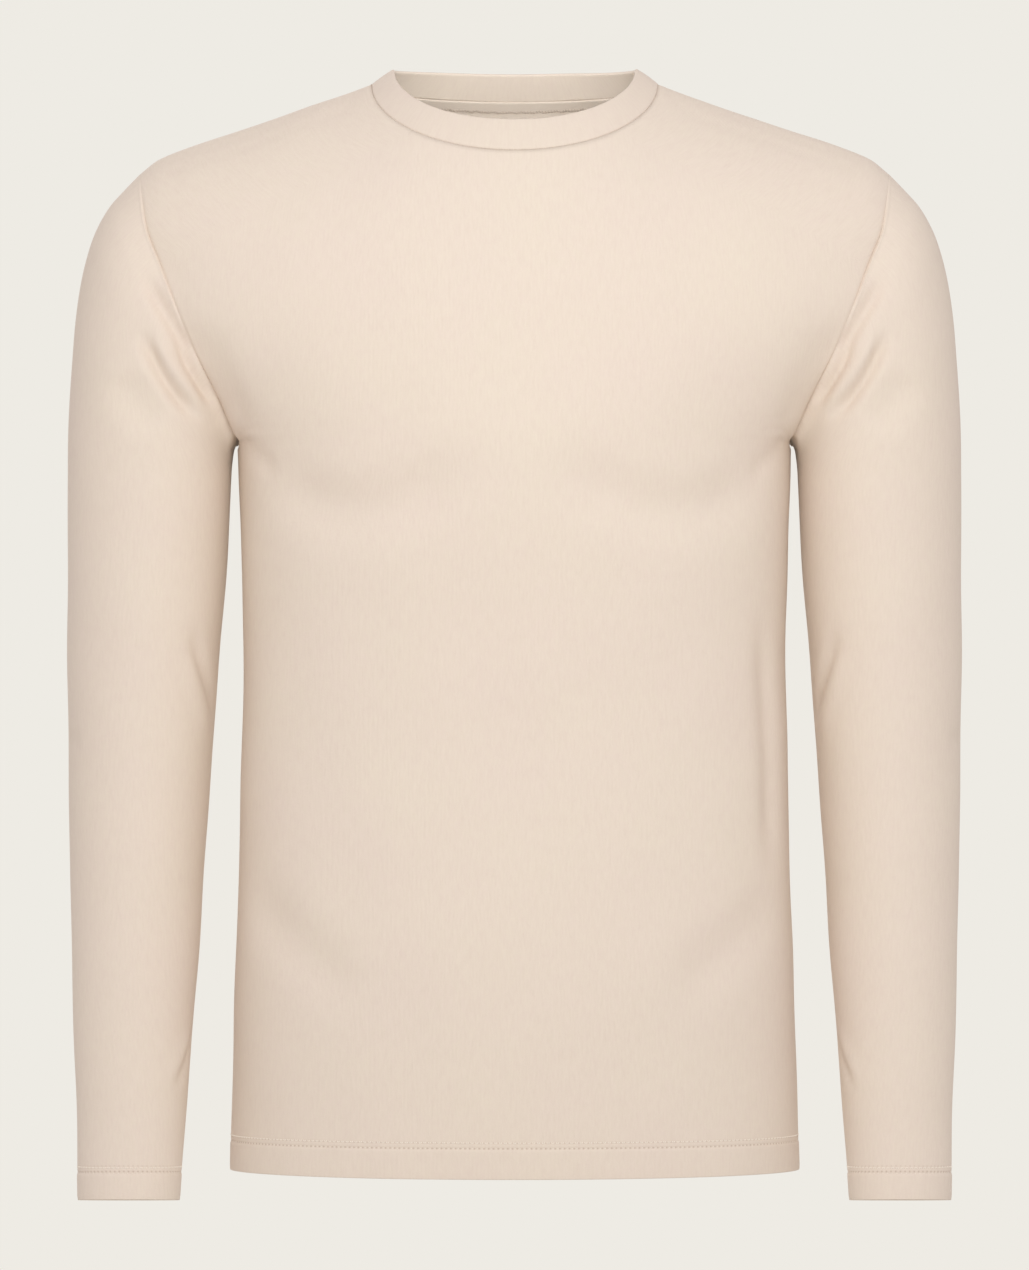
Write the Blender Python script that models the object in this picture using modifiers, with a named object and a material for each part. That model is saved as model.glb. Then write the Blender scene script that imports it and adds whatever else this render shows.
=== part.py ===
"""A long-sleeve jersey t-shirt, worn and filled out, with no wearer.

Metres, +Z up, front towards -Y. The origin lies midway between the two high shoulder points,
where the neckband, the front and the back meet. Heights are given as drops below that level.
"""

import math
from collections import namedtuple

import bmesh
import bpy
import numpy as np
from mathutils import Vector

NAME = "long_sleeve_t_shirt"

# Cloth
WALL = 0.0012                # one layer of jersey
TURNED_WALL = 0.0024         # the hem and the cuffs, turned up
BAND_WALL = 0.0024           # the neckband, folded double
TAPE_WALL = 0.0008
SEAM_GAP = 0.0003
HEM_HEIGHT = 0.0205
CUFF_HEIGHT = 0.0187
TURN_STEP = 0.0010           # over this height a turned-up edge thins to one layer

# Body, in front view
BODY_LENGTH = 0.698
NECK_HALF_WIDTH = 0.092
FRONT_NECK_DROP = 0.0466
BACK_NECK_DROP = 0.0056
SHOULDER_HALF_WIDTH = 0.2405
SHOULDER_DROP = 0.058
UNDERARM_HALF_WIDTH = 0.178
UNDERARM_DROP = 0.231

# Neckband, at its folded upper edge
BAND_TOP_HALF_WIDTH = 0.0778
BAND_SIDE_RISE = 0.0096
BAND_BACK_RISE = 0.0105
BAND_FRONT_DROP = 0.0265
BAND_FRONT_LEAN = 0.875      # depth of the upper edge, as a share of the seam's depth
BAND_BACK_LEAN = 0.86

# Neck tape, inside the back
TAPE_CLEARANCE = 0.0016      # from the neck seam to the tape's upper edge
TAPE_WIDTH = 0.0085
TAPE_ROWS = 4                # shoulder rows of the back that the tape climbs on either side
TAPE_OFFSET = WALL + 0.0008

# Divisions of the surfaces. A half panel's columns run from its middle to its side, and the
# neckline turns from a row of them to a column at one corner.
COLUMNS = 12
NECK_CORNER_COLUMN = 5
NECK_CORNER = 0.5            # that corner's place on the neckline: 0 in the middle, 1 at the side
SIDE_CROWDING = 1.25         # power by which the columns crowd towards the side seam
SHOULDER_CROWDING = 2        # power by which the rows crowd towards the shoulder seam
NECK_CROWDING = 1.5          # the same, along the neckline
SIDE_ROWS = 12
UNDERARM_ROW = 2 + SIDE_ROWS     # below the side rows are the two of the hem
CHEST_ROWS = 8               # between the underarm and the corner of the neckline
CORNER_ROW = UNDERARM_ROW + CHEST_ROWS
SHOULDER_ROWS = (0.0, 0.25, 0.50, 0.75, 0.93, 1.0)
CHEST_SHARE = 0.6            # share of the armhole that the chest rows take
SLEEVE_RINGS = (0.0, 0.003, 0.014, 0.026, 0.037, 0.050, 0.064, 0.078, 0.095, 0.119, 0.145, 0.170,
                0.198, 0.226)
LOWER_SLEEVE_RINGS = 15
MERGE_DISTANCE = 0.00001

# Plan sections of the body. Above the underarm the half width is that of the round form on
# which the armhole is cut, so it is wider than the panel itself.
BodyRow = namedtuple("BodyRow", "drop half_width front_depth back_depth roundness")
BODY = (
    BodyRow(0.0000, 0.2800, 0.0965, 0.1050, 0.50),
    BodyRow(0.0466, 0.2800, 0.0965, 0.1025, 0.50),
    BodyRow(0.0700, 0.2790, 0.0985, 0.1030, 0.50),
    BodyRow(0.0948, 0.2737, 0.1015, 0.1045, 0.50),
    BodyRow(0.1170, 0.2640, 0.1055, 0.1060, 0.50),
    BodyRow(0.1450, 0.2573, 0.1105, 0.1080, 0.50),
    BodyRow(0.1775, 0.2282, 0.1155, 0.1085, 0.47),
    BodyRow(0.2070, 0.1985, 0.1185, 0.1060, 0.44),
    BodyRow(0.2200, 0.1885, 0.1192, 0.1045, 0.43),
    BodyRow(0.2270, 0.1830, 0.1194, 0.1035, 0.43),
    BodyRow(UNDERARM_DROP, UNDERARM_HALF_WIDTH, 0.1195, 0.1030, 0.43),
    BodyRow(0.2550, 0.1772, 0.1185, 0.0990, 0.43),
    BodyRow(0.2930, 0.1755, 0.1150, 0.0925, 0.43),
    BodyRow(0.3600, 0.1743, 0.1085, 0.0835, 0.43),
    BodyRow(0.4280, 0.1755, 0.1050, 0.0805, 0.43),
    BodyRow(0.5050, 0.1770, 0.1070, 0.0890, 0.43),
    BodyRow(0.5630, 0.1790, 0.1095, 0.0980, 0.43),
    BodyRow(0.6400, 0.1813, 0.1070, 0.1040, 0.43),
    BodyRow(BODY_LENGTH, 0.1826, 0.1040, 0.1050, 0.43),
)

# Crest of the shoulders in front view, carried on over the neck hole. Between the crest and the
# full chest the cloth rounds over; the crispness is the share of a round crest's radius in front.
CrestRow = namedtuple("CrestRow", "half_width drop crispness")
CREST = (
    CrestRow(0.0000, -0.0400, 0.45),
    CrestRow(0.0500, -0.0205, 0.45),
    CrestRow(NECK_HALF_WIDTH, 0.0000, 0.50),
    CrestRow(0.1330, 0.0150, 0.66),
    CrestRow(0.1770, 0.0300, 0.82),
    CrestRow(0.2140, 0.0424, 0.94),
    CrestRow(0.2290, 0.0489, 0.98),
    CrestRow(SHOULDER_HALF_WIDTH, SHOULDER_DROP, 1.00),
)
FULL_CHEST_DROP = 0.145
CREST_FADE = 5               # power with which the crispness fades down the chest

# The armhole seam, in front view
ArmholeRow = namedtuple("ArmholeRow", "drop half_width")
ARMHOLE = (
    ArmholeRow(SHOULDER_DROP, SHOULDER_HALF_WIDTH),
    ArmholeRow(0.0948, 0.2346),
    ArmholeRow(0.1170, 0.2260),
    ArmholeRow(0.1430, 0.2164),
    ArmholeRow(0.1775, 0.2027),
    ArmholeRow(0.2070, 0.1890),
    ArmholeRow(0.2200, 0.1832),
    ArmholeRow(0.2270, 0.1799),
    ArmholeRow(UNDERARM_DROP, UNDERARM_HALF_WIDTH),
)

# Sections of a sleeve: each is an oval between a point of the outer edge and one of the inner
# edge. The key is the reach, the length of the outer edge from the shoulder tip.
SleeveRow = namedtuple("SleeveRow", "reach outer_x outer_drop inner_x inner_drop half_depth centre_y")
SLEEVE = (
    SleeveRow(0.000, 0.2405, 0.0580, 0.1780, 0.2310, 0.0600, 0.0000),
    SleeveRow(0.014, 0.2500, 0.0675, 0.1792, 0.2340, 0.0610, 0.0000),
    SleeveRow(0.030, 0.2610, 0.0800, 0.1800, 0.2360, 0.0620, 0.0000),
    SleeveRow(0.055, 0.2720, 0.1020, 0.1806, 0.2385, 0.0625, 0.0000),
    SleeveRow(0.084, 0.2790, 0.1300, 0.1810, 0.2410, 0.0625, 0.0005),
    SleeveRow(0.119, 0.2835, 0.1650, 0.1814, 0.2440, 0.0620, 0.0010),
    SleeveRow(0.159, 0.2860, 0.2050, 0.1818, 0.2480, 0.0610, 0.0015),
    SleeveRow(0.194, 0.2870, 0.2400, 0.1822, 0.2550, 0.0595, 0.0020),
    SleeveRow(0.226, 0.2873, 0.2720, 0.1832, 0.2740, 0.0580, 0.0025),
    SleeveRow(0.286, 0.2873, 0.3320, 0.1870, 0.3320, 0.0550, 0.0035),
    SleeveRow(0.344, 0.2873, 0.3900, 0.1916, 0.3900, 0.0520, 0.0040),
    SleeveRow(0.404, 0.2870, 0.4500, 0.1957, 0.4500, 0.0495, 0.0030),
    SleeveRow(0.460, 0.2857, 0.5060, 0.1994, 0.5060, 0.0470, -0.0010),
    SleeveRow(0.517, 0.2840, 0.5630, 0.2030, 0.5630, 0.0435, -0.0080),
    SleeveRow(0.556, 0.2829, 0.6020, 0.2058, 0.6020, 0.0400, -0.0140),
    SleeveRow(0.594, 0.2819, 0.6400, 0.2090, 0.6400, 0.0360, -0.0205),
    SleeveRow(0.633, 0.2810, 0.6790, 0.2115, 0.6790, 0.0325, -0.0270),
    SleeveRow(0.672, 0.2803, 0.7180, 0.2140, 0.7180, 0.0305, -0.0325),
)
SLEEVE_LENGTH = SLEEVE[-1].reach
ARMHOLE_FADE = 0.12          # reach over which the armhole's own shape turns into the plain oval

# Folds of a sleeve. The turn runs round a section: 0 at the outer edge, 90 in the middle of the
# front, 180 at the inner edge and 270 in the middle of the back. A negative depth is a ridge.
SleeveFold = namedtuple("SleeveFold", "start_reach start_turn end_reach end_turn depth half_width")
SLEEVE_FOLDS = (
    SleeveFold(0.062, 88, 0.066, 140, 0.0040, 0.0100),       # from the front armhole to the armpit
    SleeveFold(0.037, 100, 0.016, 146, 0.0026, 0.0080),
    SleeveFold(0.118, 82, 0.140, 124, 0.0018, 0.0150),
    SleeveFold(0.058, 268, 0.062, 222, 0.0036, 0.0100),      # from the back armhole to the armpit
    SleeveFold(0.033, 262, 0.018, 218, 0.0022, 0.0080),
    SleeveFold(0.104, 276, 0.128, 234, 0.0020, 0.0150),
    SleeveFold(0.300, 138, 0.362, 182, 0.0038, 0.0130),      # inner bend of the elbow
    SleeveFold(0.340, 226, 0.376, 186, 0.0030, 0.0130),
    SleeveFold(0.402, 262, 0.372, 318, 0.0024, 0.0160),      # back of the elbow
    SleeveFold(0.560, 150, 0.584, 192, 0.0020, 0.0120),      # above the cuff
)

# Folds of the front and the back, in front view
PanelFold = namedtuple("PanelFold", "start_x start_drop end_x end_drop depth half_width")
FRONT_FOLDS = (
    PanelFold(-0.168, 0.505, -0.096, 0.566, 0.0028, 0.0200),
    PanelFold(0.166, 0.508, 0.100, 0.560, 0.0026, 0.0190),
    PanelFold(0.158, 0.330, 0.163, 0.500, 0.0022, 0.0130),
    PanelFold(-0.161, 0.262, -0.118, 0.246, 0.0022, 0.0150),
    PanelFold(0.160, 0.264, 0.120, 0.248, 0.0022, 0.0150),
)
BACK_FOLDS = (
    PanelFold(-0.150, 0.395, -0.020, 0.430, 0.0030, 0.0170),
    PanelFold(0.152, 0.380, 0.030, 0.418, 0.0030, 0.0170),
    PanelFold(-0.135, 0.455, 0.060, 0.478, 0.0026, 0.0190),
    PanelFold(-0.168, 0.262, -0.122, 0.232, 0.0024, 0.0150),
    PanelFold(0.167, 0.258, 0.120, 0.230, 0.0022, 0.0150),
)

# Section of the neckband: how far up the band, and how far in from its outer face
BandPoint = namedtuple("BandPoint", "up inward")
BAND_SECTION = (
    BandPoint(0.010, 0.0000),
    BandPoint(0.450, 0.0000),
    BandPoint(0.900, 0.0001),
    BandPoint(0.970, 0.0005),
    BandPoint(1.000, BAND_WALL / 2),
    BandPoint(0.970, BAND_WALL - 0.0005),
    BandPoint(0.900, BAND_WALL - 0.0001),
    BandPoint(0.450, BAND_WALL),
    BandPoint(0.040, BAND_WALL),
)

Finish = namedtuple("Finish", "name colour roughness")
JERSEY = Finish("stone_jersey", (0.78, 0.66, 0.55, 1.0), 0.90)
BAND_JERSEY = Finish("stone_jersey_band", (0.76, 0.64, 0.53, 1.0), 0.90)
TAPE_TWILL = Finish("stone_twill_tape", (0.60, 0.49, 0.40, 1.0), 0.85)


def clear_scene():
    for thing in list(bpy.data.objects):
        bpy.data.objects.remove(thing, do_unlink=True)


def smooth_curve(keys, values, at):
    """Read a smooth curve through the points (keys, values), one that never overshoots them."""
    keys = np.asarray(keys, float)
    values = np.asarray(values, float)
    step = np.diff(keys)
    slope = np.diff(values) / step
    same_way = slope[:-1] * slope[1:] > 0
    total = np.where(same_way, slope[:-1] + slope[1:], 1.0)
    inner = np.where(same_way, 2 * slope[:-1] * slope[1:] / total, 0.0)
    tangent = np.concatenate((slope[:1], inner, slope[-1:]))
    at = np.clip(at, keys[0], keys[-1])
    i = np.clip(np.searchsorted(keys, at, side="right") - 1, 0, len(step) - 1)
    t = (at - keys[i]) / step[i]
    start = (1 + 2 * t) * (1 - t) ** 2 * values[i] + t * (1 - t) ** 2 * step[i] * tangent[i]
    end = t * t * (3 - 2 * t) * values[i + 1] + t * t * (t - 1) * step[i] * tangent[i + 1]
    return start + end


def read_table(rows, column, at):
    """One column of a table, read at values of the table's first column."""
    return smooth_curve([row[0] for row in rows], [getattr(row, column) for row in rows], at)


def body_y(x, drop, face):
    """Depth of the body's cloth. The face is -1 in front and 1 behind."""
    depth = read_table(BODY, "front_depth" if face < 0 else "back_depth", drop)
    share = np.clip(1 - (x / read_table(BODY, "half_width", drop)) ** 2, 0, 1)
    crest = read_table(CREST, "drop", x)
    below = np.clip((drop - crest) / (FULL_CHEST_DROP - crest), 0, 1)
    rounding = np.sqrt(1 - (1 - below) ** 2)
    if face < 0:
        rounding *= 1 - (1 - read_table(CREST, "crispness", x)) * (1 - below) ** CREST_FADE
    return face * depth * share ** read_table(BODY, "roundness", drop) * rounding


def armhole_steps():
    """Places along one half of an armhole: 0 at the underarm, 1 at the shoulder tip."""
    chest = np.linspace(0, CHEST_SHARE, CHEST_ROWS + 1)
    return np.concatenate((chest, CHEST_SHARE + (1 - CHEST_SHARE) * np.array(SHOULDER_ROWS[1:])))


def armhole_line(step):
    """Points of the armhole seam in front view."""
    middle = (UNDERARM_DROP + SHOULDER_DROP) / 2
    drop = middle + (UNDERARM_DROP - SHOULDER_DROP) / 2 * np.cos(math.pi * step)
    return np.stack((read_table(ARMHOLE, "half_width", drop), drop), axis=-1)


def armhole_point(step, face):
    """Points of the armhole seam on the wearer's left, +X."""
    x, drop = armhole_line(step).T
    on_seam = (step > 0) & (step < 1)
    return np.stack((x, np.where(on_seam, body_y(x, drop, face), 0.0), -drop), axis=-1)


def neckline(place, face):
    """Points of the neck seam in front view, from 0 in its middle to 1 at the shoulder."""
    drop = FRONT_NECK_DROP if face < 0 else BACK_NECK_DROP
    angle = np.asarray(place) * math.pi / 2
    return np.stack((NECK_HALF_WIDTH * np.sin(angle), drop * np.cos(angle)), axis=-1)


def neck_places():
    """Places of a half neckline's points, from its middle to the shoulder."""
    row = np.linspace(0, NECK_CORNER, NECK_CORNER_COLUMN + 1)
    climb = 1 - (1 - np.array(SHOULDER_ROWS[1:])) ** NECK_CROWDING
    return np.concatenate((row, NECK_CORNER + (1 - NECK_CORNER) * climb))


def level_line(drop):
    """Points across a half panel at one drop, from its middle to the side seam."""
    angle = math.pi / 2 * (1 - np.linspace(1, 0, COLUMNS + 1) ** SIDE_CROWDING)
    x = read_table(BODY, "half_width", drop) * np.sin(angle)
    return np.stack((x, np.full_like(x, drop)), axis=-1)


def straight(start, end, shares):
    return start + np.asarray(shares)[:, None] * (end - start)


def stretch(low, high, inner, outer, rise):
    """Fill a four-sided patch from its edges, rows by columns."""
    across = np.linspace(0, 1, len(low))[None, :, None]
    rise = np.asarray(rise)[:, None, None]
    sideways = (1 - across) * inner[:, None] + across * outer[:, None]
    upward = (1 - rise) * low[None] + rise * high[None]
    corners = ((1 - across) * ((1 - rise) * low[0] + rise * high[0])
               + across * ((1 - rise) * low[-1] + rise * high[-1]))
    return sideways + upward - corners


def half_panel(face):
    """Front view points of a half panel, rows from the hem up, with no points in the neck hole."""
    above_turn = BODY_LENGTH - HEM_HEIGHT - TURN_STEP
    even = np.linspace(above_turn, UNDERARM_DROP, SIDE_ROWS + 1)[:-1]
    lower = [level_line(drop) for drop in (BODY_LENGTH, BODY_LENGTH - HEM_HEIGHT, *even)]

    corner = NECK_CORNER_COLUMN
    chest = np.linspace(0, 1, CHEST_ROWS + 1)
    shoulder = np.array(SHOULDER_ROWS)
    underarm = level_line(UNDERARM_DROP)
    neck = neckline(neck_places(), face)
    arm = armhole_line(armhole_steps())
    seam_x = np.linspace(NECK_HALF_WIDTH, SHOULDER_HALF_WIDTH, COLUMNS - corner + 1)
    seam = np.stack((seam_x, read_table(CREST, "drop", seam_x)), axis=-1)
    middle = straight(underarm[0], neck[0], chest)
    riser = straight(underarm[corner], neck[corner], chest)
    yoke = straight(neck[corner], arm[CHEST_ROWS], np.linspace(0, 1, COLUMNS - corner + 1))

    bib = stretch(underarm[:corner + 1], neck[:corner + 1], middle, riser, chest)
    side = stretch(underarm[corner:], yoke, riser, arm[:CHEST_ROWS + 1], chest)
    climb = 1 - (1 - shoulder) ** SHOULDER_CROWDING
    cap = stretch(yoke, seam, neck[corner:], arm[CHEST_ROWS:], climb)
    hole = np.full((len(shoulder) - 1, corner, 2), np.nan)
    chest_rows = np.concatenate((bib[:, :-1], side), axis=1)
    shoulder_rows = np.concatenate((hole, cap[1:]), axis=1)
    return np.concatenate((lower, chest_rows, shoulder_rows))


def panel_points(face, folds):
    """Points of the front (-1) or the back (1), rows from the hem up, columns from -X to +X."""
    half = half_panel(face)
    plan = np.concatenate((half[:, :0:-1] * np.array((-1.0, 1.0)), half), axis=1)
    x, drop = plan[..., 0], plan[..., 1]
    y = body_y(np.abs(x), drop, face)
    for fold in folds:
        y -= face * fold.depth * trough(plan, fold[0:2], fold[2:4], fold.half_width)
    y[:UNDERARM_ROW + 1, [0, -1]] = 0.0
    y[-1] = 0.0
    return np.stack((x, y, -drop), axis=-1)


def tube_normals(points):
    """Unit normals of a closed tube of points, along columns crossed with rows."""
    ring = np.concatenate((points[:, -2:-1], points, points[:, 1:2]), axis=1)
    normal = np.cross(np.gradient(ring, axis=1)[:, 1:-1], np.gradient(points, axis=0))
    return normal / np.linalg.norm(normal, axis=-1, keepdims=True)


def trough(place, start, end, half_width):
    """Share of a fold's depth at places of a plane: 1 along its middle, fading to 0."""
    start = np.asarray(start, float)
    end = np.asarray(end, float)
    run = end - start
    along = ((place - start) @ run) / (run @ run)
    foot = start + np.clip(along, 0, 1)[..., None] * run
    away = np.linalg.norm(place - foot, axis=-1) / half_width
    fade = np.clip(1.5 - 2 * np.abs(along - 0.5), 0, 1)
    return np.exp(-away ** 2) * fade


def sleeve_reaches():
    """Reaches of the sleeve's rings, from the armhole seam to the cuff's edge."""
    turned = SLEEVE_LENGTH - CUFF_HEIGHT
    even = np.linspace(SLEEVE_RINGS[-1], turned - TURN_STEP, LOWER_SLEEVE_RINGS + 1)[1:]
    return np.concatenate((SLEEVE_RINGS, even, (turned, SLEEVE_LENGTH)))


def sleeve_turns():
    """Angles of the sleeve's columns, from the outer edge round the front and the back."""
    front = math.pi * (1 - armhole_steps()[::-1])
    return np.concatenate((front, 2 * math.pi - front[-2::-1]))


def oval(reach, turn):
    """Points of the plain oval sections."""
    row = {name: read_table(SLEEVE, name, reach) for name in SleeveRow._fields[1:]}
    swing = np.cos(turn)
    x = (row["outer_x"] + row["inner_x"]) / 2 + (row["outer_x"] - row["inner_x"]) / 2 * swing
    drop = (row["outer_drop"] + row["inner_drop"]) / 2
    drop = drop + (row["outer_drop"] - row["inner_drop"]) / 2 * swing
    y = row["centre_y"] - row["half_depth"] * np.sin(turn)
    return np.stack((x, y, -drop), axis=-1)


def armhole_ring(turn):
    """The armhole seam as the sleeve's first section."""
    step = 1 - np.where(turn <= math.pi, turn, 2 * math.pi - turn) / math.pi
    front = armhole_point(step, -1)
    back = armhole_point(step, 1)
    return np.where((turn <= math.pi)[:, None], front, back)


def sleeve_points():
    """Points of the sleeve on the wearer's left, rows from the armhole down."""
    reach = sleeve_reaches()[:, None]
    turn = sleeve_turns()
    points = oval(reach, turn[None, :])
    own_shape = armhole_ring(turn) - points[0]
    fade = np.clip(1 - reach / ARMHOLE_FADE, 0, 1) ** 2
    return points + own_shape[None] * fade[..., None]


def fold_sleeve(points):
    """Press the folds of a sleeve into its points."""
    reach = sleeve_reaches()[:, None]
    turn = np.degrees(sleeve_turns())[None, :]
    radius = np.linalg.norm(points - points.mean(axis=1, keepdims=True), axis=-1)
    normal = tube_normals(points)
    depth = np.zeros(points.shape[:2])
    for fold in SLEEVE_FOLDS:
        middle = (fold.start_turn + fold.end_turn) / 2
        place = np.stack((np.broadcast_to(reach, radius.shape),
                          np.radians(turn - middle) * radius), axis=-1)
        half_span = math.radians(fold.end_turn - fold.start_turn) / 2 * radius.mean()
        start = (fold.start_reach, -half_span)
        end = (fold.end_reach, half_span)
        depth += fold.depth * trough(place, start, end, fold.half_width)
    depth[0] = 0
    return points + normal * depth[..., None]


def band_seam(face):
    """Neck seam points of one panel, from -X to +X."""
    x, drop = neckline(neck_places(), face).T
    y = body_y(x, drop, face)
    y[-1] = 0.0
    half = np.stack((x, y, -drop), axis=-1)
    return np.concatenate((half[:0:-1] * np.array((-1.0, 1.0, 1.0)), half))


def band_top(seam, face):
    """Upper edge of the neckband over the seam points of one panel."""
    place = seam[:, 0] / NECK_HALF_WIDTH
    middle = np.sqrt(np.clip(1 - place ** 2, 0, 1))
    middle_rise = -BAND_FRONT_DROP if face < 0 else BAND_BACK_RISE
    lean = BAND_FRONT_LEAN if face < 0 else BAND_BACK_LEAN
    z = BAND_SIDE_RISE + (middle_rise - BAND_SIDE_RISE) * middle
    return np.stack((place * BAND_TOP_HALF_WIDTH, seam[:, 1] * lean, z), axis=-1)


def band_points():
    """Points of the neckband: a closed section carried round the neck."""
    front = band_seam(-1)
    back = band_seam(1)[::-1]
    seam = np.concatenate((front, back[1:]))
    top = np.concatenate((band_top(front, -1), band_top(back, 1)[1:]))
    up = top - seam
    ring = np.concatenate((seam[-2:-1], seam, seam[1:2]))
    round_neck = np.gradient(ring, axis=0)[1:-1]
    outward = np.cross(round_neck, up)
    outward /= np.linalg.norm(outward, axis=-1, keepdims=True)
    rows = [seam + up * point.up - outward * point.inward for point in BAND_SECTION]
    return np.array(rows + rows[:1])


def tape_points(back):
    """Points of the neck tape: those of the back along its neckline, moved down and inward."""
    middle = COLUMNS
    top_row = CORNER_ROW + TAPE_ROWS
    left, right = middle - NECK_CORNER_COLUMN, middle + NECK_CORNER_COLUMN
    path = [((row, left), (row, left - 1)) for row in range(top_row, CORNER_ROW, -1)]
    path += [((CORNER_ROW, left), (CORNER_ROW - 1, left - 1))]
    path += [((CORNER_ROW, column), (CORNER_ROW - 1, column)) for column in range(left + 1, right)]
    path += [((CORNER_ROW, right), (CORNER_ROW - 1, right + 1))]
    path += [((row, right), (row, right + 1)) for row in range(CORNER_ROW + 1, top_row + 1)]
    strip = []
    for edge, beside in path:
        down = back[beside] - back[edge]
        down /= np.linalg.norm(down)
        reaches = (TAPE_CLEARANCE, TAPE_CLEARANCE + TAPE_WIDTH)
        strip.append([back[edge] + down * reach + inward(back[edge]) * TAPE_OFFSET
                      for reach in reaches])
    return np.array(strip).transpose(1, 0, 2)


def inward(point):
    """Unit normal of the back, into the body, read a little below the point."""
    step = 0.002
    x, drop = abs(point[0]), -point[2] + 2 * step
    slope_x = (body_y(x + step, drop, 1) - body_y(x - step, drop, 1)) / (2 * step)
    slope_drop = (body_y(x, drop + step, 1) - body_y(x, drop - step, 1)) / (2 * step)
    normal = np.array((math.copysign(slope_x, slope_x * point[0]), -1.0, -slope_drop))
    return normal / np.linalg.norm(normal)


def draw_in_seams(bm, free_below):
    """Draw seam edges in by half the gap. Edges below a level are the open hem and cuff."""
    ways = {}
    for edge in bm.edges:
        if not edge.is_boundary or max(v.co.z for v in edge.verts) < free_below:
            continue
        along = (edge.verts[1].co - edge.verts[0].co).normalized()
        way = edge.link_faces[0].calc_center_median() - edge.verts[0].co
        way -= along * way.dot(along)
        for vertex in edge.verts:
            ways.setdefault(vertex, []).append(way.normalized())
    for vertex, found in ways.items():
        mean = sum(found, Vector()) / len(found)
        vertex.co += mean * (SEAM_GAP / 2 / mean.length_squared)


def make_material(finish):
    found = bpy.data.materials.get(finish.name)
    if found:
        return found
    material = bpy.data.materials.new(finish.name)
    material.use_nodes = True
    shader = material.node_tree.nodes["Principled BSDF"]
    shader.inputs["Base Color"].default_value = finish.colour
    shader.inputs["Roughness"].default_value = finish.roughness
    shader.inputs["Metallic"].default_value = 0.0
    return material


def grid_object(name, points, finish, outward, free_below=None):
    """An object whose mesh is a grid moved to rows and columns of points.

    Where there is no point the grid has a hole. Seams are drawn in where a free level is given.
    """
    rows, columns = points.shape[:2]
    bm = bmesh.new()
    bmesh.ops.create_grid(bm, x_segments=columns - 1, y_segments=rows - 1, size=1.0)
    for vertex in bm.verts:
        column = round((vertex.co.x + 1) / 2 * (columns - 1))
        row = round((vertex.co.y + 1) / 2 * (rows - 1))
        vertex.co = points[row, column]
    missing = [vertex for vertex in bm.verts if math.isnan(vertex.co.x)]
    bmesh.ops.delete(bm, geom=missing, context="VERTS")
    bmesh.ops.remove_doubles(bm, verts=bm.verts, dist=MERGE_DISTANCE)
    if not outward:
        bmesh.ops.reverse_faces(bm, faces=bm.faces)
    if free_below is not None:
        draw_in_seams(bm, free_below)
    mesh = bpy.data.meshes.new(name)
    bm.to_mesh(mesh)
    bm.free()
    mesh.shade_smooth()
    mesh.materials.append(make_material(finish))
    thing = bpy.data.objects.new(name, mesh)
    bpy.data.collections[NAME].objects.link(thing)
    return thing


def give_wall(thing, wall, turned_below=None):
    """Thicken a surface inward, and double it where it is turned up."""
    solidify = thing.modifiers.new("wall", "SOLIDIFY")
    solidify.offset = -1
    solidify.use_even_offset = True
    solidify.thickness = wall
    if turned_below is None:
        return
    group = thing.vertex_groups.new(name="turned_up")
    turned = [v.index for v in thing.data.vertices if v.co.z < turned_below]
    group.add(turned, 1.0, "REPLACE")
    solidify.thickness = TURNED_WALL
    solidify.vertex_group = group.name
    solidify.thickness_vertex_group = wall / TURNED_WALL


def make_panel(name, face, points):
    hem_edge = -BODY_LENGTH + TURN_STEP
    thing = grid_object(name, points, JERSEY, outward=face < 0, free_below=hem_edge)
    give_wall(thing, WALL, turned_below=-(BODY_LENGTH - HEM_HEIGHT) + TURN_STEP / 2)


def make_sleeve(name, side):
    """A sleeve. The side is 1 on the wearer's left, +X, and -1 on the right."""
    points = fold_sleeve(sleeve_points()) * np.array((side, 1.0, 1.0))
    cuff_drop = SLEEVE[-1].outer_drop
    thing = grid_object(name, points, JERSEY, outward=side > 0, free_below=-cuff_drop + CUFF_HEIGHT)
    give_wall(thing, WALL, turned_below=-(cuff_drop - CUFF_HEIGHT) + TURN_STEP / 2)


def main():
    clear_scene()
    collection = bpy.data.collections.new(NAME)
    bpy.context.scene.collection.children.link(collection)
    back = panel_points(1, BACK_FOLDS)
    make_panel("front", -1, panel_points(-1, FRONT_FOLDS))
    make_panel("back", 1, back)
    make_sleeve("sleeve_left", 1)
    make_sleeve("sleeve_right", -1)
    grid_object("neckband", band_points(), BAND_JERSEY, outward=True)
    tape = grid_object("neck_tape", tape_points(back), TAPE_TWILL, outward=True)
    give_wall(tape, TAPE_WALL)


main()
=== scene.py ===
# %% [markdown]
# A long-sleeve t-shirt of fine stone-beige jersey, worn and filled out, with nobody in it.
# It is cut from six pieces: a front, a back, two set-in sleeves, a neckband folded double and a
# narrow tape over the back neck seam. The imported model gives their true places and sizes, as plain
# faceted walls. This lesson lays a fine cloth over each wall, presses the creases in, sews the
# hems and lights the shirt softly. Everything is in metres, +Z up, with the front towards -Y.
# The origin lies between the two high shoulder points, so a height is a drop below that level.

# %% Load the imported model
import math
from collections import namedtuple

import bmesh
import bpy
import numpy as np
from mathutils import Matrix, Vector


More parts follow.
